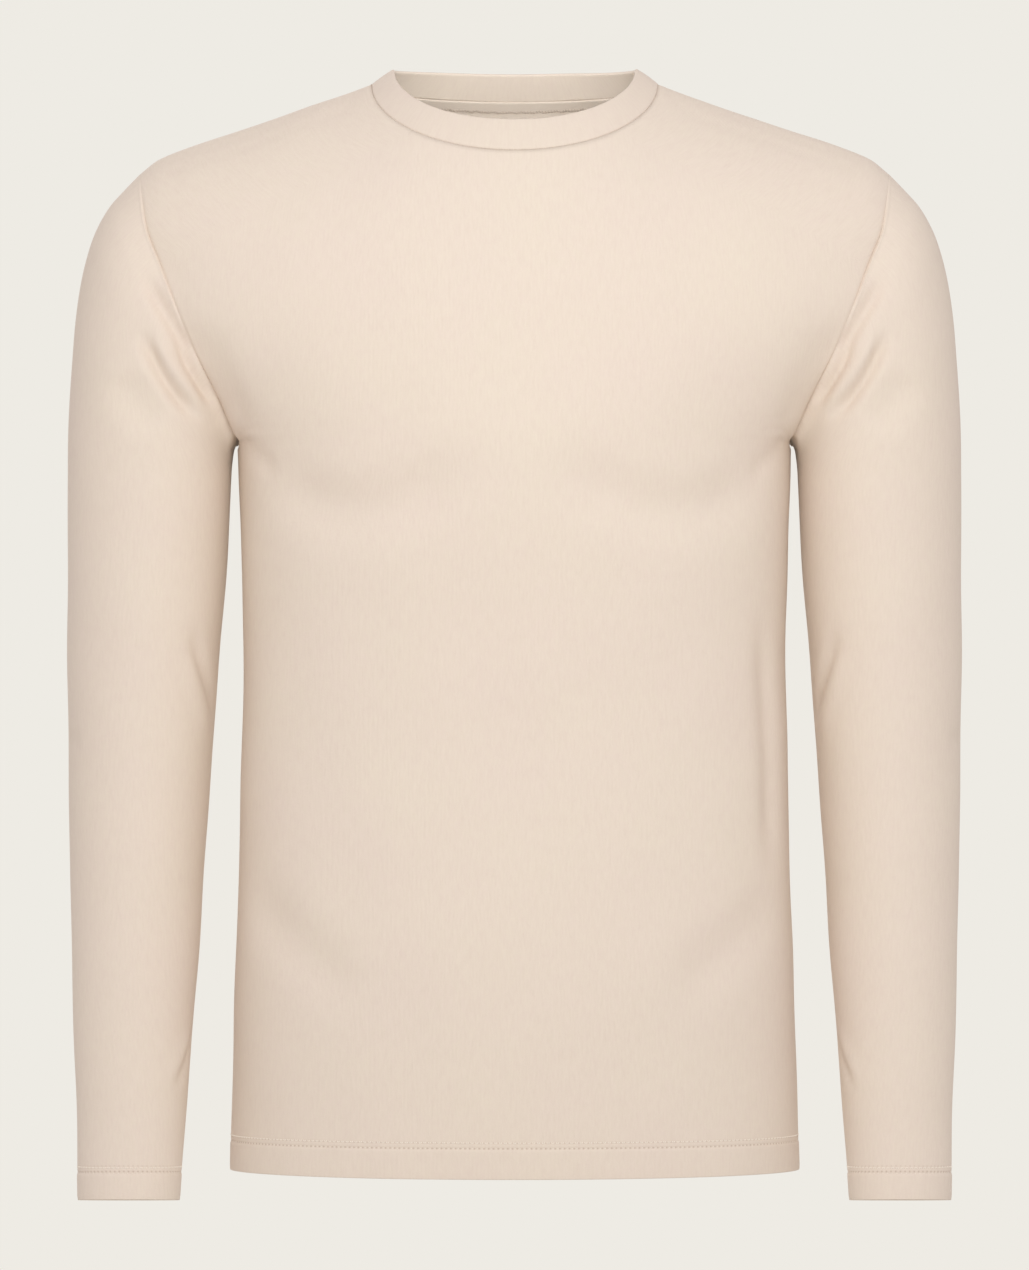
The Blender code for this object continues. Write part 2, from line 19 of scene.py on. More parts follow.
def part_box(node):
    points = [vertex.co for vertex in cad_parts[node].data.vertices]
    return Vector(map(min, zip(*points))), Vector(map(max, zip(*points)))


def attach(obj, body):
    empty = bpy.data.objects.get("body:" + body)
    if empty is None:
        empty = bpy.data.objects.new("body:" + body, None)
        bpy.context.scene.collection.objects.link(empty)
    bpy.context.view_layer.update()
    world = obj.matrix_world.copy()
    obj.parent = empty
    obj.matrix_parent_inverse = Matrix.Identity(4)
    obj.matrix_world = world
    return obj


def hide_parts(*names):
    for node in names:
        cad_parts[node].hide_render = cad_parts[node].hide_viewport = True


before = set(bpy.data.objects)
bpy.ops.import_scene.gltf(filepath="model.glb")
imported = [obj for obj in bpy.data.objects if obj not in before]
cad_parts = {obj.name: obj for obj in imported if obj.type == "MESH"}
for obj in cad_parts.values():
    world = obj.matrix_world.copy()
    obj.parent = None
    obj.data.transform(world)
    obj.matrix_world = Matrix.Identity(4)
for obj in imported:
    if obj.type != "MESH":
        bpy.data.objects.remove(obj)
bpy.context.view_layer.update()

print("packed nodes:", ", ".join(sorted(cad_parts)))

# %% [markdown]
# The camera comes first, because it fixes what the cloth has to show. A shirt is photographed
# from far off with a long lens, so that its sides keep their true outline. The lens follows from
# the distance and from the height that the picture takes in where the shirt hangs.

# %% Place the camera
PICTURE_HEIGHT = 0.8166        # metres across the picture's long side, at the shirt's side seams
CAMERA_DISTANCE = 5.5
CAMERA_DROP = 0.3543
SENSOR = 36.0

camera_data = bpy.data.cameras.new("camera")
camera_data.sensor_width = SENSOR
camera_data.lens = SENSOR * CAMERA_DISTANCE / PICTURE_HEIGHT
camera_data.clip_end = 60.0
camera = bpy.data.objects.new("camera", camera_data)
camera.location = (0.0, -CAMERA_DISTANCE, -CAMERA_DROP)
camera.rotation_euler = (math.radians(90), 0, 0)
bpy.context.scene.collection.objects.link(camera)
bpy.context.scene.camera = camera
print("lens in mm:", round(camera_data.lens, 1))

# %% [markdown]
# The shirt's form is a set of smooth curves through short tables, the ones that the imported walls
# were cut from, but for a cuff that hangs a millimetre or two nearer and higher. Each row is a
# level section of the body, a point of a seam or a section of the sleeve. Reading the tables at
# many more places gives the same form with a far finer mesh.

# %% Write down the form
NECK_HALF_WIDTH = 0.092
FRONT_NECK_DROP = 0.0466
BACK_NECK_DROP = 0.0056
SHOULDER_HALF_WIDTH = 0.2405
SHOULDER_DROP = 0.058
UNDERARM_HALF_WIDTH = 0.178
UNDERARM_DROP = 0.231
BODY_LENGTH = round(-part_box("front")[0].z, 4)
FULL_CHEST_DROP = 0.145
CREST_FADE = 5
FRONT, BACK = -1, 1


def table(kind, *rows):
    """A table whose rows have the kind's named columns."""
    return tuple(kind(*row) for row in rows)


BodyRow = namedtuple("BodyRow", "drop half_width front_depth back_depth roundness")
BODY = table(
    BodyRow,
    (0.0000, 0.2800, 0.0965, 0.1050, 0.50),
    (0.0466, 0.2800, 0.0965, 0.1025, 0.50),
    (0.0700, 0.2790, 0.0985, 0.1030, 0.50),
    (0.0948, 0.2737, 0.1015, 0.1045, 0.50),
    (0.1170, 0.2640, 0.1055, 0.1060, 0.50),
    (0.1450, 0.2573, 0.1105, 0.1080, 0.50),
    (0.1775, 0.2282, 0.1155, 0.1085, 0.47),
    (0.2070, 0.1985, 0.1185, 0.1060, 0.44),
    (0.2200, 0.1885, 0.1192, 0.1045, 0.43),
    (0.2270, 0.1830, 0.1194, 0.1035, 0.43),
    (UNDERARM_DROP, UNDERARM_HALF_WIDTH, 0.1195, 0.1030, 0.43),
    (0.2550, 0.1772, 0.1185, 0.0990, 0.43),
    (0.2930, 0.1755, 0.1150, 0.0925, 0.43),
    (0.3600, 0.1743, 0.1085, 0.0835, 0.43),
    (0.4280, 0.1755, 0.1050, 0.0805, 0.43),
    (0.5050, 0.1770, 0.1070, 0.0890, 0.43),
    (0.5630, 0.1790, 0.1095, 0.0980, 0.43),
    (0.6400, 0.1813, 0.1070, 0.1040, 0.43),
    (BODY_LENGTH, 0.1826, 0.1040, 0.1050, 0.43),
)
CrestRow = namedtuple("CrestRow", "half_width drop crispness")
CREST = table(
    CrestRow,
    (0.0000, -0.0400, 0.45),
    (0.0500, -0.0205, 0.45),
    (NECK_HALF_WIDTH, 0.0000, 0.50),
    (0.1330, 0.0150, 0.66),
    (0.1770, 0.0300, 0.82),
    (0.2140, 0.0424, 0.94),
    (0.2290, 0.0489, 0.98),
    (SHOULDER_HALF_WIDTH, SHOULDER_DROP, 1.00),
)
ArmholeRow = namedtuple("ArmholeRow", "drop half_width")
ARMHOLE = table(
    ArmholeRow,
    (SHOULDER_DROP, SHOULDER_HALF_WIDTH),
    (0.0948, 0.2346),
    (0.1170, 0.2260),
    (0.1430, 0.2164),
    (0.1775, 0.2027),
    (0.2070, 0.1890),
    (0.2200, 0.1832),
    (0.2270, 0.1799),
    (UNDERARM_DROP, UNDERARM_HALF_WIDTH),
)
SleeveRow = namedtuple(
    "SleeveRow", "reach outer_x outer_drop inner_x inner_drop half_depth centre_y")
SLEEVE = table(
    SleeveRow,
    (0.000, 0.2405, 0.0580, 0.1780, 0.2310, 0.0600, 0.0000),
    (0.014, 0.2500, 0.0675, 0.1792, 0.2340, 0.0610, 0.0000),
    (0.030, 0.2610, 0.0800, 0.1800, 0.2360, 0.0620, 0.0000),
    (0.055, 0.2720, 0.1020, 0.1806, 0.2385, 0.0625, 0.0000),
    (0.084, 0.2790, 0.1300, 0.1810, 0.2410, 0.0625, 0.0005),
    (0.119, 0.2835, 0.1650, 0.1814, 0.2440, 0.0620, 0.0010),
    (0.159, 0.2860, 0.2050, 0.1818, 0.2480, 0.0610, 0.0015),
    (0.194, 0.2870, 0.2400, 0.1822, 0.2550, 0.0595, 0.0020),
    (0.226, 0.2873, 0.2720, 0.1832, 0.2740, 0.0580, 0.0025),
    (0.286, 0.2873, 0.3320, 0.1870, 0.3320, 0.0550, 0.0035),
    (0.344, 0.2873, 0.3900, 0.1916, 0.3900, 0.0520, 0.0040),
    (0.404, 0.2870, 0.4500, 0.1957, 0.4500, 0.0495, 0.0030),
    (0.460, 0.2857, 0.5060, 0.1994, 0.5060, 0.0470, -0.0010),
    (0.517, 0.2840, 0.5630, 0.2030, 0.5630, 0.0435, -0.0080),
    (0.556, 0.2823, 0.6020, 0.2058, 0.6020, 0.0400, -0.0140),
    (0.594, 0.2811, 0.6400, 0.2090, 0.6400, 0.0360, -0.0205),
    (0.633, 0.2800, 0.6790, 0.2115, 0.6790, 0.0325, -0.0270),
    (0.6695, 0.2791, 0.7155, 0.2140, 0.7155, 0.0305, -0.0325),
)
SLEEVE_LENGTH = SLEEVE[-1].reach
ARMHOLE_FADE = 0.12
print("body length:", BODY_LENGTH, "sleeve length:", SLEEVE_LENGTH)

# %% [markdown]
# A curve that overshot between two rows would dent the cloth, so each column is read with a
# cubic whose slopes are harmonic means: it passes every row and never swings beyond one.

# %% Read a table as a smooth curve
def smooth_curve(keys, values, at):
    """Read a smooth curve through the points (keys, values), one that never overshoots them."""
    keys = np.asarray(keys, float)
    values = np.asarray(values, float)
    step = np.diff(keys)
    slope = np.diff(values) / step
    same_way = slope[:-1] * slope[1:] > 0
    total = np.where(same_way, slope[:-1] + slope[1:], 1.0)
    inner = np.where(same_way, 2 * slope[:-1] * slope[1:] / total, 0.0)
    tangent = np.concatenate((slope[:1], inner, slope[-1:]))
    at = np.clip(at, keys[0], keys[-1])
    i = np.clip(np.searchsorted(keys, at, side="right") - 1, 0, len(step) - 1)
    t = (at - keys[i]) / step[i]
    start = (1 + 2 * t) * (1 - t) ** 2 * values[i] + t * (1 - t) ** 2 * step[i] * tangent[i]
    end = t * t * (3 - 2 * t) * values[i + 1] + t * t * (t - 1) * step[i] * tangent[i + 1]
    return start + end


def read_table(rows, column, at):
    return smooth_curve([row[0] for row in rows], [getattr(row, column) for row in rows], at)


print("half width at the waist:", round(float(read_table(BODY, "half_width", 0.36)), 4))

# %% [markdown]
# The front and the back lie on one body form. A level section is a rounded oblong that closes at
# the side seams, and above the full chest it rounds over to the crest of the shoulders. The
# direction that the cloth faces is worked out from two pairs of nearby places. Cloth doesn't follow
# a sharp bend of the form, so away from the seams it is softened by averaging over nearby heights.

# %% Shape the body form
SLOPE_STEP = 0.0005
CENTRE_SOFTNESS = 0.008      # rounds the form over where its two halves meet
SOFT_SHARES = ((-1.0, 1 / 9), (-0.5, 2 / 9), (0.0, 3 / 9), (0.5, 2 / 9), (1.0, 1 / 9))


def body_y(x, drop, face):
    depth = read_table(BODY, "front_depth" if face == FRONT else "back_depth", drop)
    share = np.clip(1 - (x / read_table(BODY, "half_width", drop)) ** 2, 0, 1)
    crest = read_table(CREST, "drop", np.hypot(x, CENTRE_SOFTNESS))
    below = np.clip((drop - crest) / (FULL_CHEST_DROP - crest), 0, 1)
    rounding = np.sqrt(1 - (1 - below) ** 2)
    if face == FRONT:
        rounding *= 1 - (1 - read_table(CREST, "crispness", x)) * (1 - below) ** CREST_FADE
    return face * depth * share ** read_table(BODY, "roundness", drop) * rounding


def body_point(x, drop, face):
    return np.stack((x, body_y(np.abs(x), drop, face), -drop), axis=-1)


def body_normal(x, drop, face):
    """The way the body's cloth faces, outwards."""
    s = SLOPE_STEP
    side = np.abs(x)
    across = (body_y(side + s, drop, face) - body_y(side - s, drop, face)) / (2 * s) * np.sign(x)
    down = (body_y(side, drop + s, face) - body_y(side, drop - s, face)) / (2 * s)
    normal = face * np.stack((-across, np.ones_like(across), down), axis=-1)
    return normal / np.linalg.norm(normal, axis=-1, keepdims=True)


def soften(form, x, drop, face, reach):
    """Average a value of the form over a few heights, as limp cloth bridges a sharp bend."""
    total = 0.0
    for share, weight in SOFT_SHARES:
        total = total + weight * form(x, drop + share * reach, face)
    return total


def armhole_line(step):
    """Front view of the armhole seam: step 0 at the underarm, 1 at the shoulder tip."""
    middle = (UNDERARM_DROP + SHOULDER_DROP) / 2
    drop = middle + (UNDERARM_DROP - SHOULDER_DROP) / 2 * np.cos(math.pi * step)
    return np.stack((read_table(ARMHOLE, "half_width", drop), drop), axis=-1)


def neckline(place, face):
    """Front view of the neck seam: place 0 in its middle, 1 at the shoulder."""
    drop = FRONT_NECK_DROP if face == FRONT else BACK_NECK_DROP
    angle = np.asarray(place) * math.pi / 2
    return np.stack((NECK_HALF_WIDTH * np.sin(angle), drop * np.cos(angle)), axis=-1)


print("chest depth:", round(float(body_y(0.0, 0.2, BACK) - body_y(0.0, 0.2, FRONT)), 4))

# %% [markdown]
# A half panel is three patches, each stretched between its four edges: a bib under the neckline,
# a side that ends at the armhole, and a cap that climbs to the shoulder seam. Below them level
# rows run down to the hem. The rows and columns crowd near every seam and near the rows of
# stitches, because the cloth bends most sharply there.

# %% Lay out a half panel
COLUMNS = 92
CORNER = 40                  # the column where the neckline turns from a row to a column
NECK_CORNER = 0.5            # that corner's place on the neckline
SIDE_CROWDING = 1.25
SEAM_STEPS = (0.60, 0.35, 0.18, 0.07, 0.0)
SIDE_ROWS = 100
CHEST_ROWS = 56
SHOULDER_ROWS = 20
CHEST_SHARE = 0.6
SHOULDER_CROWDING = 2
NECK_CROWDING = 1.5
HEM_STITCHES = (0.0197, 0.0232)
HEM_HEIGHTS = (0.0, 0.0006, 0.0030, 0.0080, 0.0130, 0.0160, 0.0177, 0.0185, 0.0191, 0.0197,
               0.0203, 0.0210, 0.0218, 0.0225, 0.0232, 0.0239, 0.0247, 0.0262, 0.0290)


def to_seam(count):
    """Even shares from 0 to 1, with a few more of them close to the seam at 1."""
    return np.concatenate((np.linspace(0, 1, count + 1)[:-1], 1 - np.array(SEAM_STEPS) / count))


column_shares = to_seam(COLUMNS)
shoulder_shares = to_seam(SHOULDER_ROWS)
chest_shares = np.linspace(0, 1, CHEST_ROWS + 1)
side_drops = np.linspace(BODY_LENGTH - HEM_HEIGHTS[-1], UNDERARM_DROP, SIDE_ROWS + 1)[1:-1]
lower_drops = np.concatenate((BODY_LENGTH - np.array(HEM_HEIGHTS), side_drops))
armhole_steps = np.concatenate((CHEST_SHARE * chest_shares,
                                CHEST_SHARE + (1 - CHEST_SHARE) * shoulder_shares[1:]))
UNDERARM_ROW = len(lower_drops)
CORNER_ROW = UNDERARM_ROW + CHEST_ROWS


def level_line(drop):
    angle = math.pi / 2 * (1 - (1 - column_shares) ** SIDE_CROWDING)
    x = read_table(BODY, "half_width", drop) * np.sin(angle)
    return np.stack((x, np.full_like(x, drop)), axis=-1)


def straight(start, end, shares):
    return start + np.asarray(shares)[:, None] * (end - start)


def stretch(low, high, inner, outer, across, rise):
    """Fill a four-sided patch from its edges, rows by columns."""
    across = across[None, :, None]
    rise = rise[:, None, None]
    sideways = (1 - across) * inner[:, None] + across * outer[:, None]
    upward = (1 - rise) * low[None] + rise * high[None]
    corners = ((1 - across) * ((1 - rise) * low[0] + rise * high[0])
               + across * ((1 - rise) * low[-1] + rise * high[-1]))
    return sideways + upward - corners


def neck_places():
    climb = 1 - (1 - shoulder_shares[1:]) ** NECK_CROWDING
    row = NECK_CORNER * column_shares[:CORNER + 1] / column_shares[CORNER]
    return np.concatenate((row, NECK_CORNER + (1 - NECK_CORNER) * climb))


def half_panel(face):
    """Front view of a half panel, rows from the hem up; the neck hole holds no points."""
    lower = [level_line(drop) for drop in lower_drops]
    under_bib = column_shares[:CORNER + 1] / column_shares[CORNER]
    beside = (column_shares[CORNER:] - column_shares[CORNER]) / (1 - column_shares[CORNER])
    underarm = level_line(UNDERARM_DROP)
    neck = neckline(neck_places(), face)
    arm = armhole_line(armhole_steps)
    seam_x = NECK_HALF_WIDTH + (SHOULDER_HALF_WIDTH - NECK_HALF_WIDTH) * beside
    seam = np.stack((seam_x, read_table(CREST, "drop", seam_x)), axis=-1)
    middle = straight(underarm[0], neck[0], chest_shares)
    riser = straight(underarm[CORNER], neck[CORNER], chest_shares)
    yoke = straight(neck[CORNER], arm[CHEST_ROWS], beside)
    climb = 1 - (1 - shoulder_shares) ** SHOULDER_CROWDING
    bib = stretch(underarm[:CORNER + 1], neck[:CORNER + 1], middle, riser, under_bib, chest_shares)
    side = stretch(underarm[CORNER:], yoke, riser, arm[:CHEST_ROWS + 1], beside, chest_shares)
    cap = stretch(yoke, seam, neck[CORNER:], arm[CHEST_ROWS:], beside, climb)
    hole = np.full((len(shoulder_shares) - 1, CORNER, 2), np.nan)
    chest = np.concatenate((bib[:, :-1], side), axis=1)
    shoulder = np.concatenate((hole, cap[1:]), axis=1)
    return np.concatenate((lower, chest, shoulder))


print("half panel rows and columns:", half_panel(FRONT).shape[:2])

# %% [markdown]
# Where two pieces are sewn, the cloth dips into the seam, because its edge is held inside. Where
# it is pinched under the arm or lies loose over a bend, it creases: a soft trough, deepest in the
# middle and fading at both ends, with its sides slightly raised. Both are pushes along the way
# that the cloth faces, and both depend only on the distance from a line on the cloth.

# %% Press lines into cloth
SEAM_DIP = 0.0011
SEAM_DIP_WIDTH = 0.0011
PULL_DROPS = (0.058, 0.080, 0.120, 0.175, 0.205, 0.231, 0.270)
PULLS = (0.0, 0.35, 0.45, 0.80, 2.30, 2.40, 0.80)
PULL_WIDTHS = (0.0011, 0.0011, 0.0011, 0.0014, 0.0021, 0.0022, 0.0012)
END_FADE = 0.30
Crease = namedtuple("Crease", "start middle end depth half_width")


def distance_to(points, line):
    """Distance of points from a line, and how far along it their nearest places lie."""
    nearest = np.ones(points.shape[:-1])
    along = np.zeros(points.shape[:-1])
    for i, (start, end) in enumerate(zip(line[:-1], line[1:])):
        run = end - start
        share = np.clip((points - start) @ run / (run @ run), 0, 1)
        away = np.linalg.norm(points - start - share[..., None] * run, axis=-1)
        along = np.where(away < nearest, (i + share) / (len(line) - 1), along)
        nearest = np.fmin(away, nearest)
    return nearest, along


def seam_dip(distance, width=SEAM_DIP_WIDTH):
    return SEAM_DIP * np.exp(-(distance / width) ** 2)


def pulled_in(distance, drop):
    """How deep an armhole or side seam pulls the cloth in: most of all under the arm."""
    width = np.interp(drop, PULL_DROPS, PULL_WIDTHS)
    return np.interp(drop, PULL_DROPS, PULLS) * seam_dip(distance, width)


def bend_through(crease, count=12):
    """Places along a crease: a curve through its start, middle and end."""
    t = np.linspace(0, 1, count)[:, None]
    start, middle, end = (np.array(place, float) for place in crease[:3])
    handle = 2 * middle - (start + end) / 2
    return (1 - t) ** 2 * start + 2 * t * (1 - t) * handle + t ** 2 * end


def pressed(points, creases, on_cloth):
    """Depth of all creases at the points; on_cloth turns a crease's places into points."""
    depth = np.zeros(points.shape[:-1])
    for crease in creases:
        away, along = distance_to(points, on_cloth(bend_through(crease)))
        away = away / crease.half_width
        ends = np.clip(np.minimum(along, 1 - along) / END_FADE, 0, 1)
        trough = (1 - 0.5 * away ** 2) * np.exp(-away ** 2)
        depth += crease.depth * trough * ends ** 2 * (3 - 2 * ends)
    return depth


print("crease table columns:", Crease._fields)

# %% [markdown]
# No worn cloth is perfectly smooth. A few long waves with fixed phases, each under a quarter of a
# millimetre high, keep the light on the panels from looking like a lamp on plastic.

# %% Add a faint unevenness
Wave = namedtuple("Wave", "across deep up phase height")
WAVES = table(
    Wave,
    (9.0, 4.0, 3.0, 0.4, 0.00022),
    (-6.0, 5.0, 8.0, 2.1, 0.00020),
    (14.0, -7.0, 5.0, 4.0, 0.00014),
    (4.0, 9.0, -13.0, 5.2, 0.00012),
    (-21.0, 6.0, 9.0, 1.3, 0.00008),
)


def unevenness(points):
    height = np.zeros(points.shape[:-1])
    for wave in WAVES:
        turn = points @ np.array((wave.across, wave.deep, wave.up)) * 2 * math.pi
        height += wave.height * np.sin(turn + wave.phase)
    return height


print("unevenness in mm, at most:", round(1000 * sum(wave.height for wave in WAVES), 2))

# %% [markdown]
# A hem is turned up inside and sewn with twin needles: two parallel rows that each pull a fine
# groove into the cloth, with the double layer below them standing out a little.

# %% Shape a turned-up edge
STITCH_SINKS = (0.00032, 0.00012)      # the lower row sinks in, the upper one lies on top
STITCH_SINK_WIDTH = 0.0007
TURN_LIFT = 0.0003
TURN_STEP = 0.0020                     # below the lower row the double layer rises over this height
EDGE_ROUNDING = 0.0030


def turned_edge(height, rows):
    """How deep the cloth is drawn in at a height above its free edge."""
    sink = sum(depth * np.exp(-((height - row) / STITCH_SINK_WIDTH) ** 2)
               for row, depth in zip(rows, STITCH_SINKS))
    lifted = np.clip((rows[0] - height) / TURN_STEP, 0, 1) * np.clip(height / EDGE_ROUNDING, 0, 1)
    return sink - TURN_LIFT * lifted


print("hem groove in mm:", round(1000 * float(turned_edge(HEM_STITCHES[0], HEM_STITCHES)), 2))

# %% [markdown]
# Now the front and the back. Their creases are given in front view, across and down. In front
# there are two faint diagonals over the hips, a soft upright fold on one side, shallow folds under
# the full chest and short pulls from the underarms. The back is loose over the waist, so it gets
# longer level ones.

# %% Make the points of the panels
FRONT_CREASES = table(
    Crease,
    ((-0.172, 0.515), (-0.138, 0.552), (-0.090, 0.592), 0.0038, 0.022),   # over the hips
    ((0.170, 0.518), (0.138, 0.552), (0.094, 0.588), 0.0035, 0.022),
    ((0.156, 0.330), (0.162, 0.420), (0.163, 0.520), 0.0032, 0.012),      # upright, at a side
    ((-0.174, 0.226), (-0.163, 0.240), (-0.150, 0.252), 0.0018, 0.009),   # from the underarms
    ((0.174, 0.228), (0.162, 0.242), (0.149, 0.253), 0.0016, 0.009),
    ((-0.168, 0.238), (-0.096, 0.275), (-0.006, 0.228), 0.0052, 0.023),   # under the full chest
    ((0.168, 0.238), (0.098, 0.275), (0.008, 0.230), 0.0050, 0.023),
    ((-0.212, 0.150), (-0.186, 0.190), (-0.172, 0.226), 0.0016, 0.016),   # beside the armholes
    ((0.212, 0.150), (0.187, 0.190), (0.172, 0.226), 0.0014, 0.016),
)
BACK_CREASES = table(
    Crease,
    ((-0.160, 0.385), (-0.085, 0.420), (-0.010, 0.428), 0.0034, 0.016),
    ((0.162, 0.372), (0.095, 0.405), (0.025, 0.418), 0.0032, 0.016),
    ((-0.140, 0.450), (-0.040, 0.478), (0.065, 0.474), 0.0028, 0.018),
    ((0.150, 0.440), (0.125, 0.462), (0.090, 0.470), 0.0020, 0.014),
    ((-0.168, 0.262), (-0.148, 0.245), (-0.118, 0.225), 0.0026, 0.014),
    ((0.167, 0.258), (0.146, 0.242), (0.120, 0.226), 0.0024, 0.014),
    ((-0.170, 0.560), (-0.140, 0.540), (-0.100, 0.535), 0.0020, 0.016),
)
SOFT_REACH = 0.014
SOFT_START, SOFT_BLEND = 0.004, 0.020    # the cloth isn't softened or creased close to a seam
NECK_DIP = 0.10              # the band stands close against the panels, so they dip less there
SHOULDER_DIP = 0.40
CORNER_LIFTS = ((0.0013, 0.0032), (0.0009, 0.1200))      # each a height and a width
CORNER_LIFT_TOP = 0.012
Cloth = namedtuple("Cloth", "points normals uv")


def corner_lift(uv):
    """How far the hem is pulled up beside the side seam, which rounds its corner."""
    beside = uv[:, -1:, 0] - uv[..., 0]
    lift = sum(height * np.exp(-(beside / width) ** 2) for height, width in CORNER_LIFTS)
    return lift * np.clip(1 - uv[..., 1] / CORNER_LIFT_TOP, 0, 1)


def run_along(points, axis=0):
    """Length along a line, or along the columns or rows of a grid, from its first point."""
    step = np.linalg.norm(np.diff(points, axis=axis), axis=-1)
    if axis == 1 and np.isnan(step).any():
        step = np.where(np.isnan(step), step[CORNER_ROW], step)
    start = np.zeros_like(np.take(step, [0], axis=axis))
    return np.concatenate((start, np.cumsum(np.nan_to_num(step), axis=axis)), axis=axis)


def mirrored(half, sign=1.0):
    """A whole panel's values from those of its +X half."""
    return np.concatenate((half[:, :0:-1] * sign, half), axis=1)


def panel_cloth(face, creases):
    half = half_panel(face)
    x, drop = half[..., 0], half[..., 1]
    points = body_point(x, drop, face)
    points[:UNDERARM_ROW + 1, -1, 1] = 0.0
    points[-1, :, 1] = 0.0
    neck = np.concatenate((points[CORNER_ROW, :CORNER + 1], points[CORNER_ROW + 1:, CORNER]))
    from_neck = distance_to(points, neck)[0]
    from_side = distance_to(points, points[:, -1])[0]
    from_shoulder = distance_to(points, points[-1, CORNER:])[0]
    away = np.min((from_neck, from_side, from_shoulder), axis=0)
    reach = SOFT_REACH * np.clip((away - SOFT_START) / SOFT_BLEND, 0, 1)
    points[..., 1] = np.where(reach > 0, soften(body_y, x, drop, face, reach), points[..., 1])
    normals = soften(body_normal, x, drop, face, reach)
    normals /= np.linalg.norm(normals, axis=-1, keepdims=True)
    uv = np.stack((run_along(points, 1), run_along(points)), axis=-1)
    points[..., 2] += corner_lift(uv)
    dip = np.maximum(pulled_in(from_side, drop), SHOULDER_DIP * seam_dip(from_shoulder))
    dip += NECK_DIP * seam_dip(from_neck)

    flip = np.array((-1.0, 1.0, 1.0))
    points, normals = mirrored(points, flip), mirrored(normals, flip)
    uv = mirrored(uv, np.array((-1.0, 1.0))) + np.array((0.5, 0.0))
    dip, away = (mirrored(values[..., None])[..., 0] for values in (dip, away))
    depth = pressed(points, creases, lambda places: body_point(*places.T, face))
    depth = (depth + unevenness(points)) * np.clip(away / SOFT_START, 0, 1)
    depth += dip + turned_edge(points[..., 2] + BODY_LENGTH, HEM_STITCHES)
    return Cloth(points - normals * depth[..., None], normals, uv)


front_cloth = panel_cloth(FRONT, FRONT_CREASES)
back_cloth = panel_cloth(BACK, BACK_CREASES)
print("front points:", front_cloth.points.shape[:2])

# %% [markdown]
# A sleeve is one tube, cut square at the cuff and set into the armhole at the top. Its sections
# fan out from the underarm like the ribs of a folded fan, and so do the creases there: they start
# on the upper arm and run into the armpit. A place on the sleeve is a reach down its outer edge
# and a turn round it: 0 at the outer edge, 90 in front, 180 at the inner edge, 270 behind.

# %% Make the points of a sleeve
SLEEVE_COLUMNS = 70
ARMHOLE_RINGS = (0.0, 0.0003, 0.0007, 0.0012, 0.0018, 0.0026, 0.0036, 0.0050, 0.0068, 0.0090)
UPPER_RINGS, UPPER_END = 60, 0.226
LOWER_RINGS = 100
CUFF_STITCHES = (0.0179, 0.0214)
CUFF_HEIGHTS = (0.0280, 0.0245, 0.0228, 0.0221, 0.0214, 0.0208, 0.0201, 0.0193, 0.0186, 0.0179,
                0.0173, 0.0166, 0.0157, 0.0140, 0.0110, 0.0070, 0.0030, 0.0006, 0.0)
INNER_SEAM_DIP = 0.6
SEAM_RIDGE = 0.0008
SEAM_RIDGE_AT = 0.0012
SEAM_RIDGE_WIDTH = 0.0007
RIDGE_DROPS = (0.060, 0.085, 0.170, 0.190)
RIDGE_SHARES = (0.0, 1.0, 1.0, 0.0)
CUFF_TILT = 0.075            # a cuff is cut square to the forearm, which hangs a little forward
CUFF_TILT_REACH = 0.06
SLEEVE_CREASES = table(
    Crease,
    ((0.055, 80), (0.0772, 98), (0.0800, 130), 0.0056, 0.0058),        # pinched at the armpit
    ((0.018, 99), (0.0185, 116), (0.0084, 136), 0.0044, 0.0046),
    ((0.045, 87), (0.0537, 105), (0.0419, 132), -0.0016, 0.0056),
    ((0.022, 68), (0.0168, 90), (0.0020, 114), 0.0050, 0.0058),
    ((0.118, 66), (0.1316, 81), (0.1450, 102), 0.0030, 0.0150),
    ((0.300, 126), (0.3360, 150), (0.3660, 178), 0.0028, 0.0068),      # bend of the elbow
    ((0.317, 124), (0.3500, 142), (0.3780, 162), -0.0010, 0.0080),
    ((0.374, 6), (0.3750, 20), (0.3740, 40), 0.0012, 0.0060),
    ((0.560, 182), (0.5800, 161), (0.5990, 138), 0.0016, 0.0046),      # above the cuff
    ((0.556, 166), (0.5760, 149), (0.5940, 130), -0.0010, 0.0060),
    ((0.058, 268), (0.0660, 248), (0.0660, 226), 0.0040, 0.0085),      # behind the armpit
    ((0.030, 262), (0.0260, 242), (0.0180, 224), 0.0026, 0.0065),
    ((0.100, 282), (0.1180, 258), (0.1320, 236), 0.0024, 0.0140),
    ((0.402, 262), (0.3860, 286), (0.3720, 318), 0.0028, 0.0140),      # behind the elbow
    ((0.350, 222), (0.3660, 204), (0.3720, 184), 0.0026, 0.0100),
    ((0.590, 250), (0.5980, 226), (0.5900, 200), 0.0016, 0.0090),
)
upper = np.linspace(ARMHOLE_RINGS[-1], UPPER_END, UPPER_RINGS + 1)[1:]
lower = np.linspace(UPPER_END, SLEEVE_LENGTH - CUFF_HEIGHTS[0], LOWER_RINGS + 1)[1:-1]
reaches = np.concatenate((ARMHOLE_RINGS, upper, lower, SLEEVE_LENGTH - np.array(CUFF_HEIGHTS)))
half_turns = math.pi * to_seam(SLEEVE_COLUMNS)
turns = np.concatenate((half_turns, 2 * math.pi - half_turns[-2::-1]))


